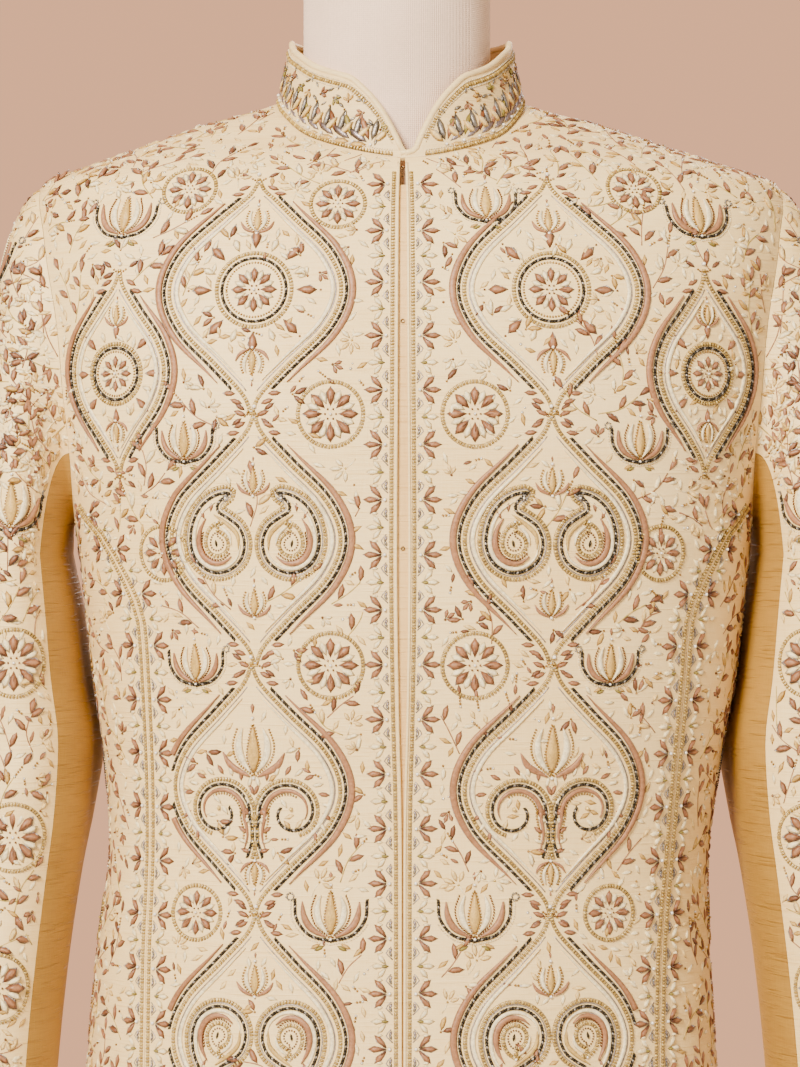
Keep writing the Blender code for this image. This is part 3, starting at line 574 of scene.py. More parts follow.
def neck_run(turns, before, side, count):
    """Neckline points after a first one, on the seam between collar and panel."""
    start = neckline_point(math.radians(turns[0]))
    run = list(finer([before, (side * start[0], start[1])], [count])[1:])
    for turn in finer(turns, [count] * (len(turns) - 1))[1:]:
        station, height = neckline_point(math.radians(turn))
        run.append((side * station, height))
    return run


def creased(points, normals):
    """The cloth's points with the listed creases pressed in, and the normals that follow."""
    moved = points.copy()
    for crease in CREASES:
        away = points - np.array([crease.x, crease.y, crease.z])
        line = unit(np.array([crease.dx, crease.dy, crease.dz]))
        along = away @ line
        beside = np.linalg.norm(away - along[..., None] * line, axis=-1)
        depth = crease.depth * np.exp(-((beside / crease.width) ** 2) - (along / crease.run) ** 2)
        moved += normals * depth[..., None]
    across, down = np.gradient(moved, axis=1), np.gradient(moved, axis=0)
    turned = unit(np.cross(across, down))
    turned *= np.sign((turned * normals).sum(-1, keepdims=True))
    pressed = np.linalg.norm(moved - points, axis=-1, keepdims=True) > 2e-5
    return moved, unit(np.where(pressed, turned, normals))


def drawn_in(points, columns=(0, -1), top=False):
    """The points with their seam edges drawn in by half a seam's gap."""
    moved = points.copy()
    for edge in columns:
        beside = 1 if edge == 0 else -2
        moved[:, edge] += unit(points[:, beside] - points[:, edge]) * SEAM_HALF
    if top:
        moved[-1] += unit(points[-2] - points[-1]) * SEAM_HALF
    return moved


def main_panel(side, back):
    grid = main_panel_grid(side, back)
    points = body_point(grid[..., 0], grid[..., 1])
    normals = body_normal(grid[..., 0], grid[..., 1])
    points, normals = creased(points, normals)
    return drawn_in(points, (0, -1) if back else (-1,), True), normals


def side_panel(side):
    turns = np.arange(FRONT_SEAM_TURN, BACK_SEAM_TURN + 0.01, ARMHOLE_STEP / 3)
    top = np.array([armhole_point(t, side) for t in turns])
    seam_top = top[0, 1]
    share = (top[:, 0] - top[0, 0]) / (top[-1, 0] - top[0, 0])
    rows = []
    for height in finer(PANEL_HEIGHTS, LOW_COUNTS):
        front = side * station_at_across(column(FRONT_SIDE_SEAM, "across", height), height)
        back = side * station_at_across(column(BACK_SIDE_SEAM, "across", height), height, True)
        bend = float(smooth_step(1.10, seam_top, height))
        stations = front * (1 - share) + back * share
        rows.append(np.stack([stations, height + bend * (top[:, 1] - seam_top)], axis=-1))
    last = rows[-1]
    rows += [last + (top - last) * (i + 1) / SEAM_COUNT for i in range(SEAM_COUNT)]
    grid = np.array(rows)
    points = body_point(grid[..., 0], grid[..., 1])
    normals = body_normal(grid[..., 0], grid[..., 1])
    points, normals = creased(points, normals)
    return drawn_in(points), normals


def sleeve_ring(turns, height):
    inner, outer, forward, half_depth, tuck = (
        column(SLEEVE[::-1], name, height) for name in SleeveRing._fields[1:]
    )
    x = (inner + outer) / 2 + (outer - inner) / 2 * np.cos(turns)
    x = x - tuck * np.maximum(-np.sin(turns), 0) * (1 - np.cos(turns)) / 2
    y = forward - half_depth * np.sin(turns)
    return np.stack([x, y, np.full_like(x, height)], axis=-1)


SLEEVE_STEP = 4.5


def sleeve_piece(side, first_turn, last_turn):
    """A strip of the sleeve tube, armhole to cuff."""
    turns_degrees = np.arange(first_turn - SLEEVE_STEP, last_turn + SLEEVE_STEP + 0.01, SLEEVE_STEP)
    turns = np.radians(turns_degrees)
    on_body = np.array([armhole_point(t % 360, side) for t in turns_degrees])
    start = body_point(on_body[:, 0], on_body[:, 1])
    rim_normal = body_normal(on_body[:, 0], on_body[:, 1])
    to_middle = np.array([side * 0.22, 0.0, ARMHOLE_HEIGHT]) - start
    to_middle -= rim_normal * (to_middle * rim_normal).sum(-1, keepdims=True)
    mirror = np.array([side, 1.0, 1.0])
    start = (start + unit(to_middle) * SEAM_GAP) * mirror
    bicep = sleeve_ring(turns, SLEEVE[0].height)
    length = np.linalg.norm(bicep - start, axis=-1, keepdims=True)
    drop = -0.55 * np.maximum(np.cos(turns), 0)
    leave = unit(np.stack([np.ones_like(drop), 0 * drop, drop], axis=-1)) * length * 0.5
    arrive = np.array([0.08, 0.0, -1.0]) * length
    rings = []
    for t in finer([*CAP_STEPS, 1.0], [2, 2, 2, 3, 3, 3, 3])[:-1]:
        rings.append(
            (2 * t**3 - 3 * t**2 + 1) * start
            + (t**3 - 2 * t**2 + t) * leave
            + (3 * t**2 - 2 * t**3) * bicep
            + (t**3 - t**2) * arrive
        )
    heights = [row.height for row in SLEEVE]
    counts = [max(1, round((a - b) / SHELL_CELL)) for a, b in zip(heights, heights[1:])]
    rings += [sleeve_ring(turns, height) for height in finer(heights, counts)]
    points = np.array(rings)
    normals = unit(np.cross(np.gradient(points, axis=1), np.gradient(points, axis=0)))
    points, normals = creased(points * mirror, normals * mirror)
    return drawn_in(points[:, 1:-1]), normals[:, 1:-1]


def collar_band(rows):
    """The stand-up band, from one front end round to the other; rows run base to top."""
    half = neck_run(NECK_TURNS_FRONT, (opening_station(1, NECK_PIT), NECK_PIT), 1, 4)
    back = neck_run(NECK_TURNS_BACK, (math.pi, BACK_NECK), 1, 4)
    half = [(opening_station(1, NECK_PIT), NECK_PIT), *half, *reversed(back[:-1])]
    last_half = [(2 * math.pi - station, height) for station, height in reversed(half[1:])]
    on_body = np.array([*half, (math.pi, BACK_NECK), *last_half,
                        (2 * math.pi + opening_station(-1, NECK_PIT), NECK_PIT)])
    base = body_point(on_body[:, 0], on_body[:, 1])
    rim_normal = body_normal(on_body[:, 0], on_body[:, 1])
    neck_axis = np.array([column(HANG, "across", NECK_POINT), 0.0, 0.0])
    inward = unit((neck_axis - base) * np.array([1.0, 1.0, 0.0]))
    into_hole = inward - rim_normal * (inward * rim_normal).sum(-1, keepdims=True)
    base = base + unit(into_hole) * SEAM_GAP
    along = np.concatenate([[0.0], np.cumsum(np.linalg.norm(np.diff(base, axis=0), axis=1))])
    along = np.minimum(along, along[-1] - along)
    tall = column(COLLAR, "height", along)[:, None]
    rise = np.array([0.0, 0.0, math.cos(COLLAR_LEAN)]) + inward * math.sin(COLLAR_LEAN)
    stand_normal = unit(-inward * math.cos(COLLAR_LEAN) + np.array([0, 0, math.sin(COLLAR_LEAN)]))
    points, normals = [], []
    for share in np.linspace(0, 1, rows):
        turned = smooth_step(0.0, 0.004, tall * share)
        points.append(base + rise * tall * share)
        normals.append(unit(rim_normal * (1 - turned) + stand_normal * turned))
    return np.array(points), np.array(normals)


def add_piece(name, points, faces, material, tints=None):
    """One mesh from arrays; faces all have the same number of corners."""
    mesh = bpy.data.meshes.new(name)
    count, corners = faces.shape
    mesh.vertices.add(len(points))
    mesh.vertices.foreach_set("co", np.asarray(points, np.float32).ravel())
    mesh.loops.add(count * corners)
    mesh.loops.foreach_set("vertex_index", np.asarray(faces, np.int32).ravel())
    mesh.polygons.add(count)
    mesh.polygons.foreach_set("loop_start", np.arange(0, count * corners, corners, dtype=np.int32))
    mesh.update(calc_edges=True)
    mesh.shade_smooth()
    if tints is not None:
        colour = mesh.color_attributes.new("tint", "FLOAT_COLOR", "POINT")
        four = np.concatenate([tints, np.ones((len(tints), 1))], axis=1)
        colour.data.foreach_set("color", np.asarray(four, np.float32).ravel())
    mesh.materials.append(material)
    piece = bpy.data.objects.new(name, mesh)
    bpy.context.scene.collection.objects.link(piece)
    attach(piece, "root")
    return piece


def add_shell(name, outer, normals, thickness, material):
    """A closed thin wall under a grid of points."""
    rows, columns = outer.shape[:2]
    points = np.concatenate([outer.reshape(-1, 3), (outer - normals * thickness).reshape(-1, 3)])
    grid = np.arange(rows * columns).reshape(rows, columns)
    shift = rows * columns
    top = np.stack([grid[:-1, :-1], grid[:-1, 1:], grid[1:, 1:], grid[1:, :-1]], -1).reshape(-1, 4)
    edge = np.concatenate([grid[0], grid[1:, -1], grid[-1, -2::-1], grid[-2:0:-1, 0]])
    after = np.roll(edge, -1)
    rim = np.stack([after, edge, shift + edge, shift + after], -1)
    faces = np.concatenate([top, shift + top[:, ::-1], rim])
    a, b, c, d = (points[faces[:, i]] for i in range(4))
    if (np.cross(b - a, c - a) * a + np.cross(c - a, d - a) * a).sum() < 0:
        faces = faces[:, ::-1]
    piece = add_piece(name, points, faces, material)
    piece.data.set_sharp_from_angle(angle=math.radians(50))
    return piece


def small_round(sides, low, high):
    """A low bead: two rings and a top point, closed underneath. Unit radius, z is its height."""
    turns = 2 * math.pi * np.arange(sides) / sides
    ring = np.stack([np.cos(turns), np.sin(turns)], -1)
    lower = np.concatenate([ring * math.cos(low), np.full((sides, 1), 0.0)], 1)
    upper = np.concatenate([ring * math.cos(high), np.full((sides, 1), math.sin(high))], 1)
    points = np.concatenate([lower, upper, [[0, 0, 1.0]]])
    faces = []
    for i in range(sides):
        j = (i + 1) % sides
        faces += [(i, j, sides + j), (i, sides + j, sides + i), (sides + i, sides + j, 2 * sides)]
    faces += [(0, i + 1, i) for i in range(1, sides - 1)]
    return points, np.array(faces)


def low_dome(outline, top_points):
    """A closed low form over an outline, with one or two top points on its ridge."""
    count = len(outline)
    points = [(z.real, z.imag, 0.0) for z in outline] + [(z.real, z.imag, 1.0) for z in top_points]
    middles = (outline + np.roll(outline, -1)) / 2
    nearest = [int(np.argmin(np.abs(middle - np.array(top_points)))) for middle in middles]
    faces = []
    for i in range(count):
        j = (i + 1) % count
        faces.append((i, j, count + nearest[i]))
        if nearest[j] != nearest[i]:
            faces.append((j, count + nearest[j], count + nearest[i]))
    faces += [(0, i + 1, i) for i in range(1, count - 1)]
    return np.array(points), np.array(faces)


def leaf_outline(bend, steps=3, blunt=0.0):
    """A pointed leaf from 0 to 1 along x, half a unit wide each side, bent sideways."""
    along = np.linspace(0, 1, steps + 1)
    half = np.sin(np.pi * along ** (1 - blunt)) ** 0.8 * 0.5
    spine = bend * 4 * along * (1 - along)
    lower = along[:-1] + 1j * (spine - half)[:-1]
    upper = along[1:] + 1j * (spine + half)[1:]
    return np.concatenate([lower, [along[-1] + 0j], upper[:-1][::-1]])


# Painted shade where a small shape meets the cloth: its colour is deepened to a power of it, times a share
FOOT_SHADE = {"silk": (2.0, 0.78), "metal": (1.0, 0.34), "beads": (1.3, 0.40), "pearls": (1.3, 0.40)}

SHAPES = {
    "pearl": small_round(5, 0.0, math.radians(48)),
    "ring": low_dome(np.array([-1 - 1j, 1 - 1j, 1 + 1j, -1 + 1j]), [-0.55j, 0.55j]),
    "seed": low_dome(np.exp(2j * np.pi * np.arange(5) / 5), [0j]),
    "grain": low_dome(np.array([-1, 0.1 - 1j, 1, -0.1 + 1j]), [-0.4, 0.4]),
    "leaf": low_dome(leaf_outline(0.0), [0.34, 0.66]),
    "leaf_left": low_dome(leaf_outline(0.13), [0.34 + 0.11j, 0.66 + 0.11j]),
    "leaf_right": low_dome(leaf_outline(-0.13), [0.34 - 0.11j, 0.66 - 0.11j]),
    "petal": low_dome(leaf_outline(0.0, 3, -0.45), [0.42, 0.72]),
    "sequin": low_dome(np.exp(2j * np.pi * np.arange(6) / 6), [0j]),
}


def curve(corners, closed=False, steps=8):
    """A smooth path through complex corner points."""
    corners = np.asarray(corners, complex)
    if closed:
        padded = np.concatenate([corners[-1:], corners, corners[:2]])
    else:
        padded = np.concatenate([[2 * corners[0] - corners[1]], corners,
                                 [2 * corners[-1] - corners[-2]]])
    t = np.arange(steps)[:, None] / steps
    p0, p1, p2, p3 = padded[:-3], padded[1:-2], padded[2:-1], padded[3:]
    path = 0.5 * (2 * p1 + (p2 - p0) * t + (2 * p0 - 5 * p1 + 4 * p2 - p3) * t**2
                  + (3 * p1 - p0 - 3 * p2 + p3) * t**3)
    path = path.T.ravel()
    return np.append(path, path[0] if closed else corners[-1])


def arc(centre, radius, start, end, steps=24):
    turns = np.radians(np.linspace(start, end, steps + 1))
    return centre + radius * np.exp(1j * turns)


def beside(path, distance):
    """The path moved to its left."""
    heading = np.gradient(path)
    if abs(path[0] - path[-1]) < 1e-9:
        heading[0] = heading[-1] = path[1] - path[-2]
    return path + 1j * heading / np.maximum(np.abs(heading), 1e-12) * distance


def spaced(path, step, offset=0.0):
    """Places along a path a step apart, with the heading at each."""
    lengths = np.concatenate([[0.0], np.cumsum(np.abs(np.diff(path)))])
    at = np.arange(offset, lengths[-1], step)
    spots = np.interp(at, lengths, path.real) + 1j * np.interp(at, lengths, path.imag)
    ahead = np.interp(at + 1e-4, lengths, path.real) + 1j * np.interp(at + 1e-4, lengths, path.imag)
    behind = np.interp(at - 1e-4, lengths, path.real) + 1j * np.interp(at - 1e-4, lengths, path.imag)
    return spots, np.angle(ahead - behind)


SUNK = 0.0002
SATIN_PITCH = 0.0020
WIDE_MOTIF = 0.009


class Panel:
    """A cloth's outer side as a fine grid, and all the needlework that is sewn to it."""

    CELL = 0.0015

    def __init__(self, name, points, normals, hand, first_margin, last_margin):
        self.name, self.points, self.hand = name, points, hand
        self.rows, self.columns = points.shape[:2]
        self.layers = np.concatenate([points, normals], axis=2)
        steps = np.linalg.norm(np.diff(points, axis=1), axis=2)
        self.across = np.concatenate([np.zeros((self.rows, 1)), np.cumsum(steps, axis=1)], axis=1)
        middle = points[:, self.columns // 2]
        self.along = np.concatenate([[0.0], np.cumsum(np.linalg.norm(np.diff(middle, axis=0), axis=1))])
        self.first_margin = np.zeros(self.rows) + first_margin
        self.last_margin = np.zeros(self.rows) + last_margin
        wide, long = self.across.max(), self.along[-1]
        self.taken = np.zeros((int(long / self.CELL) + 2, int(wide / self.CELL) + 2), bool)
        self.stamps, self.tubes, self.pads = {}, [], []

    def lift(self, rows, columns):
        """Points and normals at places of the grid."""
        rows = np.clip(rows, 0, self.rows - 1.0001)
        columns = np.clip(columns, 0, self.columns - 1.0001)
        r, c = rows.astype(int), columns.astype(int)
        fr, fc = (rows - r)[..., None], (columns - c)[..., None]
        found = (
            (self.layers[r, c] * (1 - fr) + self.layers[r + 1, c] * fr) * (1 - fc)
            + (self.layers[r, c + 1] * (1 - fr) + self.layers[r + 1, c + 1] * fr) * fc
        )
        return found[..., :3], unit(found[..., 3:])

    def flat(self, rows, columns):
        """Metres along and across the cloth at places of the grid, and the width there."""
        r = np.clip(rows, 0, self.rows - 1.0001).astype(int)
        c = np.clip(columns, 0, self.columns - 1.0001).astype(int)
        across = self.across[r, c] + (self.across[r, c + 1] - self.across[r, c]) * (columns - c)
        return np.interp(rows, np.arange(self.rows), self.along), across, self.across[r, -1]

    def inside(self, rows, columns):
        along, across, width = self.flat(rows, columns)
        on_grid = (rows >= 0.3) & (rows <= self.rows - 1.3) & (columns >= 0)
        on_grid &= columns <= self.columns - 1
        first, last = (np.interp(rows, np.arange(self.rows), margin)
                       for margin in (self.first_margin, self.last_margin))
        return on_grid & (across > first) & (across < width - last)

    def mark(self, rows, columns):
        along, across, _ = self.flat(rows, columns)
        i = np.clip((along / self.CELL).astype(int), 0, self.taken.shape[0] - 1)
        j = np.clip((across / self.CELL).astype(int), 0, self.taken.shape[1] - 1)
        self.taken[i, j] = True

    def bare(self, row, column, reach):
        along, across, _ = self.flat(np.array(row), np.array(column))
        i, j, k = int(along / self.CELL), int(across / self.CELL), int(reach / self.CELL)
        return not self.taken[max(i - k, 0):i + k + 1, max(j - k, 0):j + k + 1].any()

    def spot(self, share, height):
        """Row and column at a share of the width and a height above the floor."""
        at = share * (self.columns - 1)
        heights = self.points[:, int(at), 2]
        order = np.argsort(heights)
        return float(np.interp(height, heights[order], order)), at

    def spot_at(self, x, height):
        """Row and column of a place seen from straight ahead."""
        away = (self.points[..., 0] - x) ** 2 + (self.points[..., 2] - height) ** 2
        place = np.array(np.unravel_index(np.argmin(away), away.shape), float)
        for _ in range(3):
            grid = place + np.array([[0, 0], [0.5, 0], [0, 0.5]])
            here, down, over = self.lift(grid[:, 0], grid[:, 1])[0][:, ::2]
            slopes = np.stack([down - here, over - here], -1) * 2
            fix = np.linalg.lstsq(slopes, np.array([x, height]) - here, rcond=None)[0]
            place = np.clip(place + np.clip(fix, -2, 2), 0, [self.rows - 2, self.columns - 2])
        return float(place[0]), float(place[1])

    def spot_from(self, along, across):
        """Row and column at metres along and across."""
        row = float(np.interp(along, self.along, np.arange(self.rows)))
        reach = self.across[min(int(row), self.rows - 1)]
        return row, float(np.interp(across, reach, np.arange(self.columns)))

    def run_beside(self, distance, from_last=False, first_row=0.0, last_row=None):
        """Rows and columns of a line that keeps its distance from one edge."""
        rows = np.arange(self.rows)
        wanted = [
            np.interp(reach[-1] - distance if from_last else distance, reach, np.arange(self.columns))
            for reach in self.across
        ]
        fine = np.arange(first_row, (self.rows - 1 if last_row is None else last_row) + 0.01, 0.5)
        return fine, np.interp(fine, rows, wanted)

    def stamp(self, shape, points, ahead, normals, sizes, tints, piece):
        self.stamps.setdefault((piece, shape), []).append((points, ahead, normals, sizes, tints))

    def sew(self, rows, columns, line):
        """Sews one kind of line along places of the grid."""
        found = self.drawn(rows, columns, line.pitch)
        if found is None:
            return
        points, ahead, normals = found
        count = len(points)
        if line.style == "thread":
            tints = np.where(np.arange(count)[:, None, None] % 2, np.array(line.tint), np.array(line.second))
            self.tubes.append((line.piece, THREAD, points, ahead, normals, np.full(count, line.width),
                               np.full(count, line.height), np.repeat(tints, 3, axis=1)))
            return
        tints = np.where(np.arange(count)[:, None] % 3 == 2, np.array(line.second), np.array(line.tint))
        if line.style == "cord":
            aside = np.cross(normals, ahead)
            ahead = unit(ahead + 0.75 * self.hand * aside)
            sizes = np.tile([line.width * 0.62, line.width * 0.36, line.height], (count, 1))
            self.stamp("grain", points, ahead, normals, sizes, tints, line.piece)
        else:
            sizes = np.tile([line.pitch * 0.50, line.width / 2, line.height], (count, 1))
            self.stamp("ring" if line.style == "rings" else "seed", points, ahead, normals, sizes, tints,
                       line.piece)

    def drawn(self, rows, columns, pitch):
        """Points a pitch apart along places of the grid, with their headings and normals."""
        if len(rows) < 2:
            return None
        self.mark(rows, columns)
        points, normals = self.lift(rows, columns)
        lengths = np.concatenate([[0.0], np.cumsum(np.linalg.norm(np.diff(points, axis=0), axis=1))])
        if lengths[-1] < pitch:
            return None
        count = max(2, int(round(lengths[-1] / pitch)) + 1)
        at = np.linspace(0, lengths[-1], count)
        points = np.stack([np.interp(at, lengths, points[:, i]) for i in range(3)], -1)
        normals = unit(np.stack([np.interp(at, lengths, normals[:, i]) for i in range(3)], -1))
        return points, unit(np.gradient(points, axis=0)), normals

    def satin(self, rows, columns, widths, height, tint, edge):
        """A padded band of satin stitch, whose strands lie across it."""
        found = self.drawn(rows, columns, SATIN_PITCH)
        if found is None:
            return
        points, ahead, normals = found
        count = len(points)
        widths = np.interp(np.linspace(0, 1, count), np.linspace(0, 1, len(widths)), widths)
        # Alternate strands lie lower and their colour is scaled by 0.86: painted shade between the strands.
        # The two foot corners take the deeper edge colour: painted shade where the band meets the cloth.
        strand = np.where(np.arange(count) % 2, 1.0, 0.86)
        tints = np.stack([edge, edge, tint, tint])[None] * strand[:, None, None]
        self.tubes.append(("silk", SATIN, points, ahead, normals, widths, height * strand, tints))

    def stamped(self, shape, groups, kind):
        """All the small shapes of one form, as one set of points, corners and tints."""
        at, ahead, normals, sizes, colours = (
            np.concatenate([group[i] for group in groups]) for i in range(5)
        )
        base, corners = SHAPES[shape]
        ahead = unit(ahead - normals * (ahead * normals).sum(-1, keepdims=True))
        aside = np.cross(normals, ahead) * self.hand
        scaled = base[None] * sizes[:, None]
        placed = at[:, None] + scaled[..., :1] * ahead[:, None] + scaled[..., 1:2] * aside[:, None]
        placed += (scaled[..., 2:] - SUNK) * normals[:, None]
        starts = len(base) * np.arange(len(at))
        corners = (corners[:, ::self.hand][None] + starts[:, None, None]).reshape(-1, 3)
        # Painted shade: the corners at each shape's foot take a deeper colour than its top
        power, share = FOOT_SHADE[kind]
        painted_foot_shade = colours[:, None] ** power * share
        tints = np.where(base[:, 2:][None] > 0, colours[:, None], painted_foot_shade)
        return placed.reshape(-1, 3), corners, tints.reshape(-1, 3)

    def tubed(self, profile, spots, ahead, normals, widths, heights, tints):
        """A thread or a satin band along its spots, closed at both ends."""
        aside = np.cross(normals, ahead) * widths[:, None]
        ring = spots[:, None] + profile[None, :, :1] * aside[:, None]
        ring = ring + (profile[None, :, 1:] * heights[:, None, None] - SUNK) * normals[:, None]
        corners = len(profile)
        grid = np.arange(ring.shape[0] * corners).reshape(-1, corners)
        over = np.roll(grid, -1, axis=1)
        a, b, c, d = grid[:-1].ravel(), over[:-1].ravel(), over[1:].ravel(), grid[1:].ravel()
        walls = np.concatenate([np.stack([a, c, b], -1), np.stack([a, d, c], -1)])
        fan = np.array([(0, i, i + 1) for i in range(1, corners - 1)])
        ends = np.concatenate([fan, fan[:, ::-1] + grid[-1, 0]])
        return ring.reshape(-1, 3), np.concatenate([walls, ends]), tints.reshape(-1, 3)

    def finish_pieces(self, materials):
        """Joins all the needlework of this cloth, one mesh for each kind."""
        found = {"silk": list(self.pads)}
        for (kind, shape), groups in self.stamps.items():
            found.setdefault(kind, []).append(self.stamped(shape, groups, kind))
        for kind, *tube in self.tubes:
            found.setdefault(kind, []).append(self.tubed(*tube))
        made = []
        for kind, parts in sorted(found.items()):
            if parts:
                starts = np.cumsum([0, *(len(part[0]) for part in parts[:-1])])
                corners = np.concatenate([part[1] + start for part, start in zip(parts, starts)])
                made.append(add_piece(f"{self.name}_{kind}", np.concatenate([part[0] for part in parts]),
                                      corners, materials[kind],
                                      np.concatenate([part[2] for part in parts])))
        return made


class Needle:
    """Works a motif at one place. Its positions are complex numbers in metres: x away from the
    front opening, y up."""

    def __init__(self, panel, place, scale=1.0, turn=0.0, flip=False):
        self.panel, (self.row, self.column) = panel, place
        self.scale, self.turn, self.flip = scale, turn, flip
        rows = np.clip(self.row + np.array([0, 1, -1, 0, 0]), 0, panel.rows - 1.001)
        columns = np.clip(self.column + np.array([0, 0, 0, 1, -1]), 0, panel.columns - 1.001)
        points, normals = panel.lift(rows, columns)
        self.origin, normal = points[0], normals[0]
        down = (points[1] - points[2]) / (rows[1] - rows[2])
        over = (points[3] - points[4]) / (columns[3] - columns[4])
        up = unit(np.array([0, 0, 1.0]) - normal * normal[2])
        away = np.cross(up, normal) * panel.hand
        self.away, self.up = away, up
        self.steps = np.linalg.inv(np.array([[down @ away, over @ away], [down @ up, over @ up]]))

    def plane(self, spots):
        spots = np.atleast_1d(np.asarray(spots, complex)) * self.scale
        if self.flip:
            spots = -np.conj(spots)
        return spots * np.exp(1j * self.turn)

    def stepped(self, moved):
        return self.steps @ np.stack([moved.real, moved.imag])

    def grid(self, spots):
        """Rows and columns of the spots: distances from the middle stay true on a curved cloth."""
        moved = self.plane(spots)
        rows, columns = self.stepped(moved) + np.array([[self.row], [self.column]])
        if np.abs(moved).max() > WIDE_MOTIF:
            for _ in range(4):
                away = self.panel.lift(rows, columns)[0] - self.origin
                found = away @ self.away + 1j * (away @ self.up)
                found = found * np.linalg.norm(away, axis=-1) / np.maximum(np.abs(found), 1e-9)
                fix = np.clip(self.stepped(moved - found), -4, 4)
                rows = np.clip(rows + fix[0], -9, self.panel.rows + 9)
                columns = np.clip(columns + fix[1], -9, self.panel.columns + 9)
        return rows, columns

    def runs(self, path, step):
        """The stretches of a path that lie on the cloth, with each stretch's shares of it."""
        path, _ = spaced(path, step / self.scale)
        rows, columns = self.grid(path)
        inside = self.panel.inside(rows, columns).astype(int)
        starts = np.flatnonzero(np.diff(np.concatenate([[0], inside])) == 1)
        ends = np.flatnonzero(np.diff(np.concatenate([inside, [0]])) == -1) + 1
        shares = np.linspace(0, 1, len(path))
        return [(rows[a:b], columns[a:b], shares[a:b]) for a, b in zip(starts, ends)]

    def line(self, path, line):
        for rows, columns, _ in self.runs(path, 0.0012):
            self.panel.sew(rows, columns, line)

    def band(self, path, width, tint, edge=None, height=0.0014, blunt=0.0):
        """Satin stitch that tapers to both ends of the path, or to its far end alone."""
        for rows, columns, shares in self.runs(path, 0.0012):
            shares = shares + blunt * (1 - shares)
            widths = width * self.scale * np.sin(np.pi * np.clip(shares, 0.02, 0.98)) ** 0.7
            # The edge colour, a deeper one, is painted shade at the band's foot
            self.panel.satin(rows, columns, widths, height, tint, tint if edge is None else edge)

    def put(self, shape, spots, angles, length, width, height, tint, piece):
        """Sets small shapes at spots, each pointing its own way."""
        spots = np.atleast_1d(np.asarray(spots, complex))
        angles = np.broadcast_to(np.asarray(angles, float), spots.shape)
        length = np.broadcast_to(np.asarray(length, float), spots.shape)
        width = np.broadcast_to(np.asarray(width, float), spots.shape)
        rows, columns = self.grid(spots)
        keep = self.panel.inside(rows, columns)
        if shape.startswith(("leaf", "petal")):
            shares = np.array([[0.5], [0.92]])
            along = (spots + shares * length * np.exp(1j * angles)).ravel()
            leaf_rows, leaf_columns = (found.reshape(2, -1) for found in self.grid(along))
            keep &= self.panel.inside(leaf_rows, leaf_columns).all(axis=0)
            self.panel.mark(leaf_rows[:, keep], leaf_columns[:, keep])
        self.panel.mark(rows[keep], columns[keep])
        if not keep.any():
            return
        points, normals = self.panel.lift(rows[keep], columns[keep])
        heading = self.plane(spots[keep] + np.exp(1j * angles[keep])) - self.plane(spots[keep])
        heading = heading / np.abs(heading)
        ahead = heading.real[:, None] * self.away + heading.imag[:, None] * self.up
        if self.flip and shape in ("leaf_left", "leaf_right"):
            shape = "leaf_right" if shape == "leaf_left" else "leaf_left"
        sizes = np.stack([length[keep] * self.scale, width[keep] * self.scale,
                          np.full(keep.sum(), height)], -1)
        tints = np.broadcast_to(np.asarray(tint, float), (len(spots), 3))[keep]
        self.panel.stamp(shape, points, ahead, normals, sizes, tints, piece)

    def leaves(self, spots, angles, length, width, tint, shape="leaf", height=0.0012):
        self.put(shape, spots, angles, length, width, height, tint, "silk")

    def pearls(self, spots, size=0.0022, tint=CRYSTAL):
        shape = "pearl" if size > 0.0023 else "seed"
        self.put(shape, spots, 0.0, size / 2, size / 2, size * 0.75, tint, "pearls")

    def sequins(self, spots, size=0.0026, tint=PALE_GOLD):
        self.put("sequin", spots, 0.0, size / 2, size / 2, 0.0007, tint, "beads")

    def pad(self, outline, tint, height=0.0016, foot_shade_tint=None):
        """A padded petal that follows the cloth, over a closed outline."""
        outline = np.asarray(outline, complex)
        if abs(outline[0] - outline[-1]) < 1e-9:
            outline = outline[:-1]
        if (np.conj(outline) * np.roll(outline, -1)).imag.sum() < 0:
            outline = outline[::-1]
        middle = outline.mean()
        spots = np.concatenate([outline, middle + (outline - middle) * 0.72, [middle]])
        rows, columns = self.grid(spots)
        if not self.panel.inside(rows, columns).all():
            return
        self.panel.mark(rows, columns)
        points, normals = self.panel.lift(rows, columns)
        count = len(outline)
        lifts = np.concatenate([np.full(count, -SUNK), np.full(count, height * 0.8), [height]])
        points = points + normals * lifts[:, None]
        i = np.arange(count)
        j = (i + 1) % count
        faces = np.concatenate([
            np.stack([i, j, count + j], -1), np.stack([i, count + j, count + i], -1),
            np.stack([count + i, count + j, np.full(count, 2 * count)], -1),
            np.stack([np.zeros(count - 2, int), i[2:], i[1:-1]], -1),
        ])
        if self.panel.hand * (-1 if self.flip else 1) < 0:
            faces = faces[:, ::-1]
        # Painted shade: the outline at the pad's foot takes a deeper colour than its top
        edge = tint if foot_shade_tint is None else foot_shade_tint
        colours = np.concatenate([np.tile(edge, (count, 1)), np.tile(tint, (count + 1, 1))])
        self.panel.pads.append((points, faces, colours))


def three_petals(needle, at, angle, size, tint, heart):
    """A small flower seen from the side: three petals from one point."""
    turns = angle + np.radians([-42, 0, 42])
    needle.leaves(np.full(3, at), turns, size * np.array([0.85, 1.0, 0.85]), size * 0.42, tint, "petal")
    needle.put("seed", at, 0.0, 0.0011, 0.0011, 0.0016, heart, "beads")


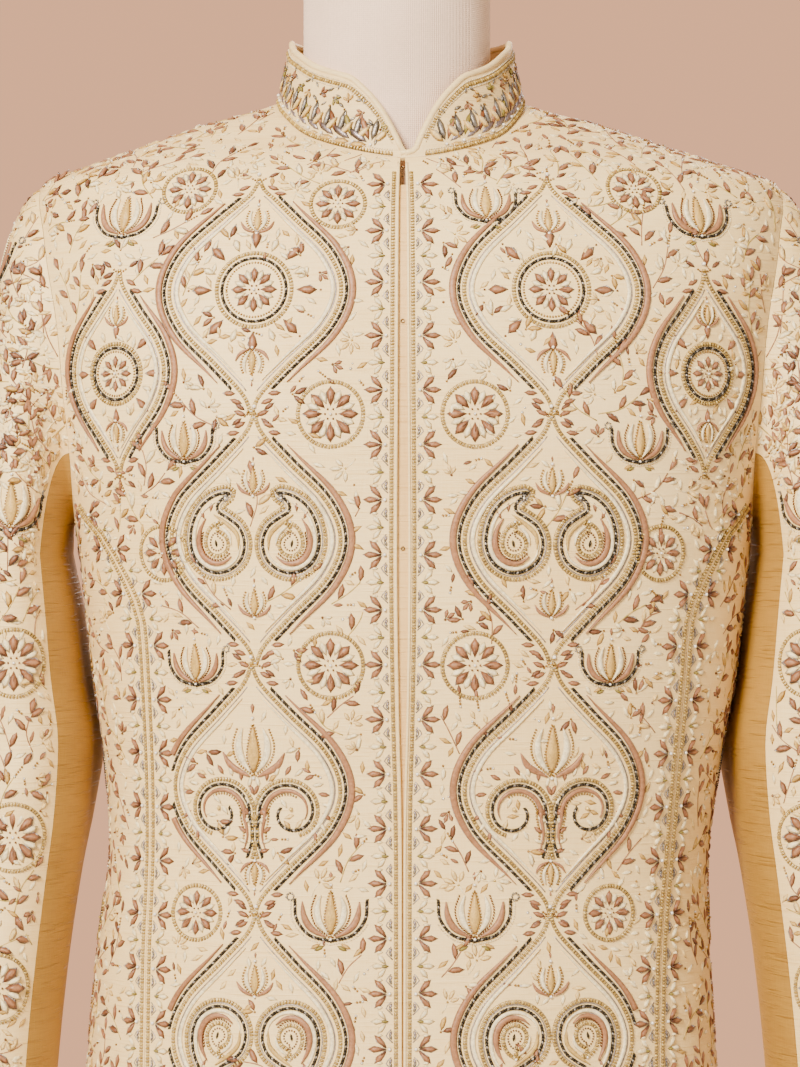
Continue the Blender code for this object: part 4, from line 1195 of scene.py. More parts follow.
def rosette(needle, centre, radius, petals):
    turns = 2 * np.pi * np.arange(petals) / petals + np.pi / 2
    shift = np.pi / petals
    needle.leaves(centre + radius * 0.30 * np.exp(1j * (turns + shift)), turns + shift,
                  radius * 0.68, radius * 0.34, IVORY, "petal", 0.0009)
    needle.leaves(centre + radius * 0.22 * np.exp(1j * turns), turns, radius * 0.82,
                  radius * 0.40, PINK, "petal", 0.0014)
    needle.put("grain", centre + radius * 0.55 * np.exp(1j * turns), turns, radius * 0.20, 0.0007,
               0.0021, DEEP_PINK, "silk")
    ring = centre + radius * 0.20 * np.exp(2j * np.pi * np.arange(6) / 6)
    needle.put("seed", ring, 0.0, 0.0010, 0.0010, 0.0019, COPPER, "beads")
    needle.pearls([centre], 0.0026)


BORDER_PITCH = 0.0324
BOTEH = np.array([0.30 + 1.02j, 0.10 + 1.03j, -0.14 + 0.92j, -0.32 + 0.70j, -0.41 + 0.42j,
                  -0.36 + 0.16j, -0.18 - 0.01j, 0.05 - 0.04j, 0.27 + 0.07j, 0.38 + 0.29j,
                  0.35 + 0.52j, 0.22 + 0.68j, 0.10 + 0.80j, 0.13 + 0.92j])


def paisley(needle, centre, size, turn, flip):
    """A boteh: cord and bead rows round it, satin crescents and a beaded drop inside."""
    inward = -1 if flip else 1
    middle = -0.02 + 0.36j

    def put_in(spots, shrink=1.0):
        spots = (np.asarray(spots, complex) - middle) * shrink + middle - 0.46j
        spots = -np.conj(spots) if flip else spots
        return centre + size * spots * np.exp(1j * turn)

    edge = curve(put_in(BOTEH), True, 6)
    needle.line(edge, DARK_CORD)
    needle.line(beside(edge, -0.0022 * inward), SILVER_THREAD)
    needle.line(beside(edge, -0.0042 * inward), RING_BEADS)
    needle.band(curve(put_in(BOTEH[1:10], 0.86)), 0.0034, IVORY, CREAM, 0.0012)
    needle.band(curve(put_in(BOTEH[2:9], 0.68)), size * 0.105, PINK, DEEP_PINK, 0.0016)
    needle.line(curve(put_in(BOTEH[3:9], 0.56)), COPPER_CORD)
    drop = curve(put_in(BOTEH, 0.42), True, 4)
    needle.line(drop, RING_BEADS if size > 0.045 else GOLD_BEADS)
    needle.line(curve(put_in(BOTEH, 0.24), True, 4), COPPER_BEADS)
    needle.put("leaf", put_in([-0.03 + 0.30j]), turn + np.pi / 2, size * 0.13, size * 0.05, 0.0016,
               DARK_SILVER, "metal")
    needle.band(curve(put_in([0.28 + 0.22j, 0.30 + 0.42j, 0.19 + 0.60j, 0.02 + 0.78j])), size * 0.075,
                STRAW, OLIVE, 0.0014)
    needle.band(curve(put_in([0.19 + 0.30j, 0.18 + 0.46j, 0.06 + 0.62j])), size * 0.06, IVORY, CREAM, 0.0014)
    needle.leaves(put_in([-0.12 + 0.72j, -0.02 + 0.80j]), turn + np.array([1.9, 1.3][::inward]), size * 0.15,
                  size * 0.07, PINK, "petal", 0.0014)
    needle.line(arc(put_in([0.24 + 0.96j])[0], size * 0.045, 0, 360, 10), SILVER_CORD)
    needle.pearls(put_in([0.24 + 0.96j, 0.05 + 0.66j]), 0.0024)


def lotus(needle, base, size, turn=0.0, rows=1):
    """An open flower in side view: a middle petal, and pairs that curl outward."""
    spin = np.exp(1j * turn) * size
    middle = base + spin * np.array([0.0, 0.13 + 0.30j, 0.10 + 0.62j, 0.0 + 0.98j,
                                     -0.10 + 0.62j, -0.13 + 0.30j])
    # GOLD on the middle petal's outline is painted shade at its foot
    needle.pad(curve(middle, True, 3), STRAW, 0.0018, GOLD)
    needle.line(curve(middle[[0, 1, 2, 3, 4, 5, 0]]), GOLD_BEADS)
    needle.line(base + spin * np.linspace(0.14j, 0.70j, 6), COPPER_BEADS)
    for hand in (1, -1):
        def half(spots, hand=hand):
            spots = np.array(spots)
            return base + spin * (spots if hand > 0 else -np.conj(spots))

        needle.band(curve(half([0.06 + 0.04j, 0.24 + 0.30j, 0.29 + 0.60j, 0.20 + 0.92j])), size * 0.17,
                    IVORY, CREAM, 0.0014)
        needle.line(curve(half([0.04 - 0.02j, 0.33 + 0.24j, 0.42 + 0.56j, 0.32 + 0.90j])),
                    COPPER_CORD if rows > 1 else GOLD_BEADS)
        if rows > 1:
            needle.band(curve(half([0.10 - 0.02j, 0.42 + 0.16j, 0.58 + 0.42j, 0.62 + 0.78j])),
                        size * 0.17, PINK, DEEP_PINK, 0.0016)
            needle.line(curve(half([0.02 - 0.10j, 0.46 + 0.02j, 0.74 + 0.36j, 0.78 + 0.76j])), DARK_CORD)
            needle.line(curve(half([0.02 - 0.18j, 0.50 - 0.05j, 0.83 + 0.33j, 0.87 + 0.78j])), IVORY_CORD)
            needle.line(arc(half([0.88 + 0.84j])[0], 0.0026, 0, 360, 10), SILVER_CORD)
            needle.leaves(half([0.12 - 0.20j, 0.20 - 0.16j]),
                          np.angle(half([0.5 - 0.35j]) - half([0.1 - 0.16j])),
                          size * 0.28, size * 0.12, (OLIVE, STRAW), "leaf")
        else:
            needle.band(curve(half([0.08 - 0.04j, 0.46 + 0.16j, 0.64 + 0.46j])), size * 0.15, PINK,
                        DEEP_PINK, 0.0014)
    needle.pearls([base - spin * 0.07j, base + spin * 1.10j], 0.0028)
    needle.leaves([base + spin * 1.16j], np.angle(spin) + np.pi / 2, size * 0.24, size * 0.11, PINK, "petal")


def bead_stem(needle, at, angle, length, tint):
    """A leaf whose foot is a short row of beads, ending in a crystal."""
    way = np.exp(1j * angle)
    needle.leaves([at + way * length * 0.42], angle, length * 0.58, length * 0.24, tint, "leaf")
    count = max(2, int(length * 0.42 / 0.0018))
    needle.put("seed", at + way * (0.0012 + 0.0018 * np.arange(count)), angle, 0.0010, 0.0010, 0.0015,
               GOLD, "beads")
    needle.pearls([at - way * 0.0004], 0.0022)


def tendril(needle, corners, line, leaf=0.0105, step=0.0095, tints=(PINK, IVORY), bead=True):
    """A stem with leaves in turn on its two sides."""
    stem = curve(corners)
    needle.line(stem, line)
    spots, heading = spaced(stem, step, step * 0.5)
    for i, (spot, angle) in enumerate(zip(spots, heading)):
        hand = 1 if i % 2 else -1
        needle.leaves([spot], angle + hand * 0.72, leaf, leaf * 0.42, tints[i % len(tints)],
                      "leaf_left" if hand < 0 else "leaf_right")
    last = float(np.angle(stem[-1] - stem[-3]))
    if bead:
        bead_stem(needle, stem[-1], last, leaf * 1.5, tints[0])
    else:
        needle.leaves([stem[-1]], last, leaf, leaf * 0.44, tints[0], "petal")


def scroll(needle, centre, size, turn, flip):
    """An arabesque: a stem that rolls up into a spiral, with bead rows and satin beside it."""
    t = np.linspace(0, 1, 60)
    radius = 0.36 * (1 - t) ** 0.8 + 0.045
    spiral = (0.30 + 0.60j) + radius * np.exp(1j * (np.pi * 1.05 - 2.6 * np.pi * t))
    stem = curve([0.0, -0.10 + 0.25j, -0.09 + 0.50j, spiral[0]])
    path = np.concatenate([stem[:-1], spiral]) * size * np.exp(1j * turn)
    path = centre + (-np.conj(path) if flip else path)
    hand = 1 if flip else -1
    needle.line(path[:74], DARK_CORD)
    needle.line(beside(path, -0.0034 * hand)[:56], RING_BEADS)
    needle.band(beside(path, 0.0036 * hand)[2:52], 0.0036, PINK, DEEP_PINK, 0.0015)
    needle.line(beside(path, 0.0062 * hand)[6:40], GOLD_BEADS)
    spots, heading = spaced(beside(path, -0.0058 * hand)[:54], 0.0064, 0.004)
    tints = np.where(np.arange(len(spots))[:, None] % 2, np.array(IVORY), np.array(PINK))
    needle.put("leaf", spots, heading - hand * 0.95, 0.0092, 0.0040, 0.0012, tints, "silk")
    needle.pearls([path[-1]], 0.0034, PALE_GOLD)


def wreath(needle, centre, radius):
    """A round medallion: a rosette, rings of cord and beads, and leaves all round."""
    rosette(needle, centre, radius * 0.46, 8)
    for reach, line in ((0.56 * radius, GOLD_BEADS), (0.56 * radius + 0.0030, DARK_CORD),
                        (0.56 * radius + 0.0066, RING_BEADS)):
        needle.line(arc(centre, reach, 0, 360, 40), line)
    count = 16
    turns = 2 * np.pi * np.arange(count) / count
    odd = np.arange(count) % 2 == 1
    length = np.where(odd, radius * 0.34, radius * 0.46)
    tints = np.where(odd[:, None], np.array(IVORY), np.array(PINK))
    rim = 0.56 * radius + 0.0086
    needle.leaves(centre + rim * np.exp(1j * turns), turns, length, length * 0.50, tints, "petal", 0.0014)
    tips = centre + (rim + radius * 0.52) * np.exp(1j * turns[~odd])
    needle.put("seed", tips, 0.0, 0.0011, 0.0011, 0.0014, COPPER, "beads")


def small_sprig(needle, rng):
    """A short curved stem with a few leaves, for the ground between the large motifs."""
    bend = rng.uniform(-0.010, 0.010)
    length = rng.uniform(0.020, 0.030)
    corners = [-0.5 * length + 0j, bend * 0.6j, 0.5 * length + 0.5j * bend]
    spin = np.exp(1j * rng.uniform(0.2, 2.9))
    tints = ((PINK, IVORY), (DEEP_PINK, PINK), (PINK, STRAW), (PINK, CREAM), (PINK, PINK))[rng.integers(5)]
    tendril(needle, np.array(corners) * spin, (STRAW_THREAD, PINK_THREAD)[rng.integers(2)],
            rng.uniform(0.0102, 0.0124), 0.0084, tints, rng.random() < 0.5)


def ivory_bloom(needle, rng):
    """Tone on tone: a fan of ivory petals and a curled stem."""
    angle = rng.uniform(0, 2 * math.pi)
    size = rng.uniform(0.0078, 0.0104)
    turns = angle + np.radians([-66, -22, 22, 66])
    needle.leaves(np.full(4, 0j) + 0.12 * size * np.exp(1j * turns), turns,
                  size * np.array([0.85, 1.0, 1.0, 0.85]), size * 0.42,
                  (IVORY, CREAM)[rng.integers(2)], "leaf", 0.0011)
    needle.line(curve(np.array([0, -0.5 + 0.12j, -0.95 + 0.35j]) * size * np.exp(1j * angle)), IVORY_THREAD)
    needle.put("seed", [0j], 0.0, 0.0010, 0.0010, 0.0014, (STRAW, PALE_GOLD)[rng.integers(2)], "beads")


def small_bud(needle, rng):
    kind = rng.random()
    angle = rng.uniform(0, 2 * math.pi)
    if kind < 0.24:
        three_petals(needle, 0j, angle, rng.uniform(0.0070, 0.0088), (PINK, IVORY, CREAM)[rng.integers(3)],
                     COPPER)
    elif kind < 0.56:
        bead_stem(needle, 0j, angle, rng.uniform(0.0105, 0.0135), (PINK, DEEP_PINK, PINK)[rng.integers(3)])
    elif kind < 0.90:
        tints = np.array([(IVORY, PINK, STRAW, DEEP_PINK)[rng.integers(4)] for _ in range(2)])
        needle.put("leaf_left", [0j, 0j], [angle, angle + 1.1], rng.uniform(0.0088, 0.0108), 0.0042,
                   0.0012, tints, "silk")
        needle.put("seed", [0j], 0.0, 0.0010, 0.0010, 0.0013, GOLD, "beads")
    else:
        needle.sequins([0j], 0.0030, CRYSTAL)
        needle.pearls([0.0032 * np.exp(1j * angle)], 0.0018)


def ivory_leaf(needle, rng):
    angle = rng.uniform(0, 2 * math.pi)
    needle.put("grain", [0j], angle, rng.uniform(0.0040, 0.0052), 0.0019, 0.0010,
               (IVORY, IVORY, CREAM, STRAW)[rng.integers(4)], "silk")


PLAIN_BELOW = 0.85
THINNED = 0.72


def fill_ground(panel, worker, spacing, clear, seed):
    """Works small things over the panel wherever the cloth is still bare, fewer on the skirt."""
    rng = np.random.default_rng(seed)
    width = panel.across[:, -1]
    for i, along in enumerate(np.arange(spacing / 2, panel.along[-1], spacing * 0.87)):
        row = float(np.interp(along, panel.along, np.arange(panel.rows)))
        for across in np.arange(spacing * (0.25 + 0.5 * (i % 2)), width[int(row)], spacing):
            jitter = rng.uniform(-0.22, 0.22, 2) * spacing
            place = panel.spot_from(along + jitter[0], across + jitter[1])
            ok = panel.inside(np.array(place[0]), np.array(place[1]))
            low = panel.points[int(place[0]), 0, 2] < PLAIN_BELOW
            if rng.random() < THINNED * low:
                continue
            if ok and panel.bare(place[0], place[1], clear):
                worker(Needle(panel, place), rng)


def edge_border(panel, from_last=False, first_row=0.0, last_row=None, inset=0.0031, phase=0):
    """The worked edge of a panel: beads, scallops of silver thread and small flowers."""
    panel.sew(*panel.run_beside(inset, from_last, first_row, last_row), RING_BEADS)
    toward = math.pi if from_last else 0.0
    rows, columns = panel.run_beside(inset + 0.0016, from_last, first_row, last_row)
    points, _ = panel.lift(rows, columns)
    lengths = np.concatenate([[0.0], np.cumsum(np.linalg.norm(np.diff(points, axis=0), axis=1))])
    for clear in (0.005, 0.008, 0.011, 0.014):
        panel.mark(*panel.run_beside(inset + clear, from_last, first_row, last_row))
    margins = panel.first_margin, panel.last_margin
    panel.first_margin, panel.last_margin = margins[0] * 0, margins[1] * 0
    for i, at in enumerate(np.arange(BORDER_PITCH / 8, lengths[-1] - 0.004, BORDER_PITCH / 4)):
        place = float(np.interp(at, lengths, rows)), float(np.interp(at, lengths, columns))
        needle = Needle(panel, place, 1.0, toward)
        step = (i + phase) % 4
        if step % 2:
            needle.put("leaf", [0.0006 - 0.0030j, 0.0006 + 0.0030j], np.array([1.15, -1.15]), 0.0046, 0.0022,
                       0.0012, (SILVER, LILAC), "metal")
            needle.line(np.array([0.0004 - 0.0042j, 0.0046 + 0j, 0.0004 + 0.0042j]), SILVER_THREAD)
            needle.leaves([0.0056], [0.0], 0.0050, 0.0028, IVORY)
        elif step == 0:
            needle.leaves(np.full(3, 0.0030), np.radians([-46, 0, 46]), [0.0122, 0.0126, 0.0122],
                          [0.0046, 0.0046, 0.0046], (PINK, PINK, PINK), "petal", 0.0016)
            needle.leaves(np.full(3, 0.0038), np.radians([-46, 0, 46]), 0.0066, 0.0014, RUST, "leaf", 0.0020)
            needle.pearls([0.0022], 0.0027)
        else:
            needle.leaves(np.full(3, 0.0034), np.radians([-50, 0, 50]), [0.0096, 0.0104, 0.0096],
                          [0.0040, 0.0044, 0.0040], IVORY, "petal", 0.0015)
            needle.leaves([0.0022], [0.0], 0.0058, 0.0026, OLIVE, "leaf", 0.0019)
            needle.pearls([0.0084], 0.0020, PALE_GOLD)
    panel.first_margin, panel.last_margin = margins


def ogee(needle, half_width, half_height):
    """A pointed oval of cord and beads that frames a motif, with leaves outside."""
    shape = np.array([1.0j, 0.10 + 0.84j, 0.42 + 0.60j, 0.84 + 0.30j, 1.0 + 0.0j, 0.84 - 0.30j,
                      0.42 - 0.60j, 0.10 - 0.84j, -1.0j])
    shape = shape.real * half_width + 1j * shape.imag * half_height
    for hand in (1, -1):
        path = curve(shape if hand > 0 else -np.conj(shape), False, 6)
        needle.line(path, RING_BEADS)
        needle.line(beside(path, -0.0030 * hand)[6:-6], SILVER_THREAD)
        needle.band(beside(path, -0.0048 * hand)[8:-8], 0.0032, IVORY, CREAM, 0.0013)
        needle.line(beside(path, 0.0032 * hand)[8:-8], DARK_CORD)
        needle.band(beside(path, 0.0068 * hand)[10:-10], 0.0048, PINK, DEEP_PINK, 0.0016)
        spots, heading = spaced(beside(path, 0.0026 * hand)[:9], 0.0074, 0.006)
        needle.put("leaf", spots, heading + 0.8 * hand, 0.0092, 0.0040, 0.0012, PINK, "silk")
        spots, heading = spaced(beside(path, 0.0026 * hand)[-9:], 0.0074, 0.004)
        needle.put("leaf", spots, heading + 2.3 * hand, 0.0092, 0.0040, 0.0012, PINK, "silk")
    needle.pearls([1j * half_height + 0.004j], 0.0032)
    for end in (1, -1):
        for angle in (0.6, 2.54):
            bead_stem(needle, 1j * end * (half_height - 0.002), end * angle, 0.0150, DEEP_PINK)


def large_motif(panel, place, kind, scale):
    needle = Needle(panel, place, scale)
    if kind == "paisleys":
        paisley(needle, -0.0252 + 0.002j, 0.047, 0.20, False)
        paisley(needle, 0.0252 + 0.002j, 0.047, -0.20, True)
        lotus(needle, -0.050j, 0.018, 0.0)
        lotus(needle, 0.030j, 0.018, 0.0)
    elif kind == "paisleys_down":
        paisley(needle, -0.0248 - 0.002j, 0.047, math.pi - 0.20, True)
        paisley(needle, 0.0248 - 0.002j, 0.047, math.pi + 0.20, False)
        lotus(needle, 0.030j, 0.020, 0.0)
        rosette(needle, -0.044j, 0.012, 6)
    elif kind == "wreath":
        wreath(needle, 0j, 0.033)
        lotus(needle, 0.040j, 0.018, 0.0)
        lotus(needle, -0.040j, 0.018, math.pi)
    elif kind == "spray":
        scroll(needle, -0.005 - 0.044j, 0.052, -0.12, True)
        scroll(needle, 0.005 - 0.044j, 0.052, -0.12, False)
        lotus(needle, 0.010j, 0.034, 0.0)
        lotus(needle, -0.048j, 0.016, math.pi)
    elif kind == "lotus":
        lotus(needle, -0.020j, 0.044, 0.0, 2)
        for hand in (-1, 1):
            tendril(needle, [0.004 * hand - 0.030j, 0.018 * hand - 0.040j, 0.034 * hand - 0.026j],
                    STRAW_THREAD)
    elif kind == "half_lotus":
        lotus(needle, -0.014j, 0.032, 0.0, 2)
    elif kind == "rosette":
        needle.line(arc(0j, 0.0225, 0, 360, 30), RING_BEADS)
        rosette(needle, 0j, 0.0190, 8)


# How far a motif reaches from its middle, at scale 1
REACH = {"paisleys": 0.045, "paisleys_down": 0.045, "wreath": 0.034, "spray": 0.040, "lotus": 0.036,
         "half_lotus": 0.025, "rosette": 0.021}


def fits(panel, place, reach):
    """Whether a round of this reach lies on the cloth, clear of its worked edges."""
    rows, columns = Needle(panel, place).grid(reach * np.exp(2j * np.pi * np.arange(8) / 8))
    return panel.inside(rows, columns).all()


def dress_panel(panel, motifs, seed, materials, spacing=1.0):
    """Large motifs first, then sprigs, buds and leaves wherever the ground is still bare."""
    for place, kind, scale, frame_size in motifs:
        if frame_size:
            ogee(Needle(panel, place), *frame_size)
            large_motif(panel, place, kind, scale)
            continue
        for choice in (kind, "half_lotus", "rosette"):
            if fits(panel, place, REACH[choice] * scale):
                large_motif(panel, place, choice, scale)
                break
    fill_ground(panel, small_sprig, 0.0182 * spacing, 0.0052, seed)
    fill_ground(panel, ivory_bloom, 0.0158 * spacing, 0.0046, seed + 3)
    fill_ground(panel, small_bud, 0.0100 * spacing, 0.0031, seed + 1)
    fill_ground(panel, ivory_leaf, 0.0084 * spacing, 0.0022, seed + 2)
    return panel.finish_pieces(materials)


def add_roll(name, points, radius, material, sides=8):
    """A round edge roll or piping along a line of points."""
    ahead = unit(np.gradient(points, axis=0))
    aside = unit(np.cross(ahead, np.array([0.13, -1.0, 0.21])))
    third = np.cross(ahead, aside)
    turns = 2 * np.pi * np.arange(sides) / sides
    ring = points[:, None] + radius * (
        np.cos(turns)[None, :, None] * aside[:, None] + np.sin(turns)[None, :, None] * third[:, None])
    count = len(points)
    grid = np.arange(count * sides).reshape(count, sides)
    over = np.roll(grid, -1, axis=1)
    walls = np.stack([grid[:-1], grid[1:], over[1:], over[:-1]], -1).reshape(-1, 4)
    ends = []
    for row, flip in ((grid[0], 1), (grid[-1], -1)):
        for i in range(1, sides // 2):
            quad = [row[i - 1], row[i], row[sides - 1 - i], row[(sides - i) % sides]]
            ends.append(quad[::flip])
    return add_piece(name, ring.reshape(-1, 3), np.concatenate([walls, np.array(ends)]), material)


def dress_collar(points, normals, materials, piping_silk):
    """The band's edge roll, its bead rows, and flowers with leaves of silver thread between."""
    top = points[-1] - normals[-1] * COLLAR_CLOTH / 2
    roll = add_roll("collar_roll", top, 0.0021, piping_silk, 10)
    panel = Panel("collar", points, normals, 1, 0.0, 0.0)
    tall = np.linalg.norm(points[-1] - points[0], axis=1)
    columns = np.arange(panel.columns, dtype=float)
    fine = np.arange(0, panel.columns - 0.99, 0.25)

    def level(from_top=None, from_base=None):
        share = 1 - from_top / tall if from_base is None else from_base / tall
        keep = (tall > 0.0165) & (share > 0.03) & (share < 0.97)
        rows = np.interp(fine, columns, np.clip(share, 0, 1) * (panel.rows - 1))
        shown = np.interp(fine, columns, keep.astype(float)) > 0.5
        return rows[shown], fine[shown]

    for kind, line in (({"from_top": 0.0038}, IVORY_CORD), ({"from_top": 0.0060}, RING_BEADS),
                       ({"from_top": 0.0082}, IVORY_CORD), ({"from_base": 0.0018}, RING_BEADS),
                       ({"from_base": 0.0040}, IVORY_CORD)):
        panel.sew(*level(**kind), line)
    reach = panel.across[0]
    rng = np.random.default_rng(5)
    for hand in (-1, 1):
        for i, along in enumerate(np.arange(0.026, reach[-1] / 2 + 0.004, 0.0118)):
            at = along if hand < 0 else reach[-1] - along
            column_at = float(np.interp(at, reach, columns))
            height = float(np.interp(column_at, columns, tall))
            room = height - 0.0125
            if room < 0.006:
                continue
            row = (0.0055 / height) * (panel.rows - 1)
            needle = Needle(panel, (row, column_at), 1.0, 0.0, hand > 0)
            lean = -0.35
            size = min(room * 0.95, 0.0205)
            for angle, share, tint in ((1.57 + lean, 1.0, (PINK, OLIVE, COPPER)[i % 3]),
                                       (2.15 + lean, 0.8, SILVER), (1.0 + lean, 0.82, LILAC),
                                       (2.75 + lean, 0.62, CREAM), (0.42 + lean, 0.62, STRAW)):
                metal = tint in (SILVER, LILAC)
                needle.put("leaf", [0.0016 * np.exp(1j * angle)], angle, size * share, size * 0.27,
                           0.0012, tint, "metal" if metal else "silk")
            needle.pearls([0j], 0.0026)
            needle.put("seed", [size * 1.06 * np.exp(1j * (1.57 + lean))], 0.0, 0.0011, 0.0011,
                       0.0014, GOLD, "beads")
            between = float(np.interp(at + 0.0059, reach, columns))
            high = Needle(panel, ((1 - 0.0150 / height) * (panel.rows - 1), between), 1.0)
            if height > 0.030:
                three_petals(high, 0j, rng.uniform(0, 6.28), 0.0066, (OLIVE, PINK, STRAW)[i % 3], COPPER)
                for turn in (0.6, 2.6, 4.4):
                    spot = [0.0046 * np.exp(1j * (turn + i))]
                    high.put("leaf", spot, turn + i, 0.0062, 0.0022, 0.0012, SILVER, "metal")
    return [roll, *panel.finish_pieces(materials)]


def set_camera():
    data = bpy.data.cameras.new("camera")
    data.sensor_fit, data.sensor_width = "HORIZONTAL", 36.0
    data.lens = 36.0 * 3871 / 800
    camera = bpy.data.objects.new("camera", data)
    bpy.context.scene.collection.objects.link(camera)
    camera.location = (-0.0071, -2.4, 1.2077)
    camera.rotation_euler = (math.pi / 2, 0.0, 0.0)
    bpy.context.scene.camera = camera


def add_light(name, place, target, size, power, colour):
    data = bpy.data.lights.new(name, "AREA")
    data.shape, data.size, data.energy, data.color = "SQUARE", size, power, colour
    light = bpy.data.objects.new(name, data)
    bpy.context.scene.collection.objects.link(light)
    way = np.array(target, float) - np.array(place, float)
    light.location = place
    light.rotation_euler = (
        math.atan2(math.hypot(way[0], way[1]), -way[2]), 0.0, math.atan2(way[1], way[0]) - math.pi / 2)


def set_studio():
    add_light("key", (-1.2, -2.4, 2.7), (0, 0, 1.15), 0.9, 256, (1.0, 0.90, 0.755))
    add_light("fill", (1.9, -2.4, 1.6), (0, 0, 1.1), 1.5, 26, (1.0, 0.90, 0.77))
    add_light("back", (0.6, 2.6, 2.4), (0, 0, 1.2), 1.8, 44, (1.0, 0.97, 0.93))
    world = bpy.data.worlds.new("studio")
    bpy.context.scene.world = world
    air = Finish("studio", {"Strength": 0.85}, world, "Background")
    way = air.node("ShaderNodeTexCoord")
    behind = air.node("ShaderNodeSeparateXYZ", None, {"Vector": way}, 1)
    air.vary("Color", air.mix(air.between(behind, -0.3, 0.85), (0.36, 0.26, 0.17), (1.34, 0.665, 0.365)))
    mesh = bpy.data.meshes.new("floor")
    half, under = 1.9, -0.002
    corners = [(-half, -half, under), (half, -half, under), (half, half, under), (-half, half, under)]
    mesh.from_pydata(corners, [], [(0, 1, 2, 3)])
    floor = bpy.data.objects.new("floor", mesh)
    bpy.context.scene.collection.objects.link(floor)
    paint = Finish("floor_paint", {"Base Color": dye(222, 212, 200), "Roughness": 0.85})
    mesh.materials.append(paint.material)


def form_ring(stations, height):
    lowered = min(height + FORM_DROP, BODY[-1].height)
    turn = turn_of(stations, lowered)
    ridge = np.abs(np.sin(stations)) ** 4 * smooth_step(1.395, 1.425, height)
    torso = body_radius(turn, lowered) - FORM_LOOSE * (1 - ridge)
    torso = torso - 0.03 * smooth_step(BODY[-1].height - 0.004, BODY[-1].height, height + FORM_DROP)
    hang = column(HANG, "across", lowered)
    shift_x = FORM_NECK_SHIFT[0] - hang
    neck = FORM_NECK_RADIUS + shift_x * np.sin(turn) - FORM_NECK_SHIFT[1] * np.cos(turn)
    gap = torso - neck
    radius = neck + (gap + np.sqrt(gap**2 + 0.002**2)) / 2
    x = np.clip(radius * np.sin(turn) + hang, -FORM_ARM_PLATE, FORM_ARM_PLATE)
    return np.stack([x, -radius * np.cos(turn), np.full_like(x, height)], axis=-1)


def add_form(material):
    stations = np.radians(np.arange(0, 360, 3.75))
    rows = [FORM_BOTTOM, 0.83, 0.86, 0.89, 0.93, 0.965, 1.0, 1.03, 1.06, 1.09, 1.12, 1.15, 1.18, 1.21,
            1.24, 1.27, 1.30, 1.325, 1.35, 1.37, 1.385, 1.395, 1.405, 1.412, 1.418, 1.424, 1.430,
            1.436, 1.441, 1.447, 1.452, 1.457, 1.461, 1.465, 1.468, 1.471, 1.474, 1.479, 1.485, 1.495,
            1.510, 1.525, 1.540, 1.552, 1.560, 1.5635, FORM_NECK_TOP]
    rings = np.array([form_ring(stations, height) for height in rows])
    middle = rings[-1].mean(axis=0)
    rings[-1] = middle + (rings[-1] - middle) * np.array([0.985, 0.985, 1.0])
    count, columns = rings.shape[:2]
    grid = np.arange(count * columns).reshape(count, columns)
    over = np.roll(grid, -1, axis=1)
    walls = np.stack([grid[:-1], over[:-1], over[1:], grid[1:]], -1).reshape(-1, 4)
    caps = []
    for ring, flip in ((grid[0], -1), (grid[-1], 1)):
        for i in range(1, columns // 2):
            quad = [ring[i - 1], ring[i], ring[columns - 1 - i], ring[(columns - i) % columns]]
            caps.append(quad[::flip])
    faces = np.concatenate([walls, np.array(caps)])
    cover = add_piece("form_cover", rings.reshape(-1, 3), faces, material)
    cover.data.set_sharp_from_angle(angle=math.radians(50))
    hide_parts("form_body")
    return cover


def add_underlap(material):
    grids = [main_panel_grid(side, False) for side in (-1, 1)]
    counts = np.cumsum([0, *LOW_COUNTS])
    first, last = int(counts[1]), int(counts[-1]) + SEAM_COUNT + TOP_COUNT * len(FRONT_HEIGHTS)
    reach = 3
    left, right = grids[0][first:last, reach], grids[1][first:last, reach]
    share = np.linspace(0, 1, 13)[None, :, None]
    grid = left[:, None] * (1 - share) + right[:, None] * share
    points, normals = body_point(grid[..., 0], grid[..., 1]), body_normal(grid[..., 0], grid[..., 1])
    points = points - normals * (CLOTH + SEAM_GAP)
    return add_shell("underlap_silk", points, normals, UNDERLAP_CLOTH, material)


OGEE = (0.0520, 0.0750)
OUTER_OGEE = (0.0330, 0.0620)
OGEE_PITCH = 0.1480
OGEE_TOP = 1.352
FRONT_KINDS = ("wreath", "paisleys", "spray", "paisleys_down", "lotus", "wreath", "lotus")
BACK_KINDS = ("wreath", "lotus", "spray", "lotus", "wreath", "lotus", "wreath")
BACK_OGEE = (0.0390, 0.0750)
BACK_COLUMN_ACROSS = 0.0560
COLUMN_ACROSS = 0.0880
OUTER_COLUMN = 0.1770
OUTER_HEIGHT = 1.303
FLARE_FROM = 0.90
FLARE = 0.07


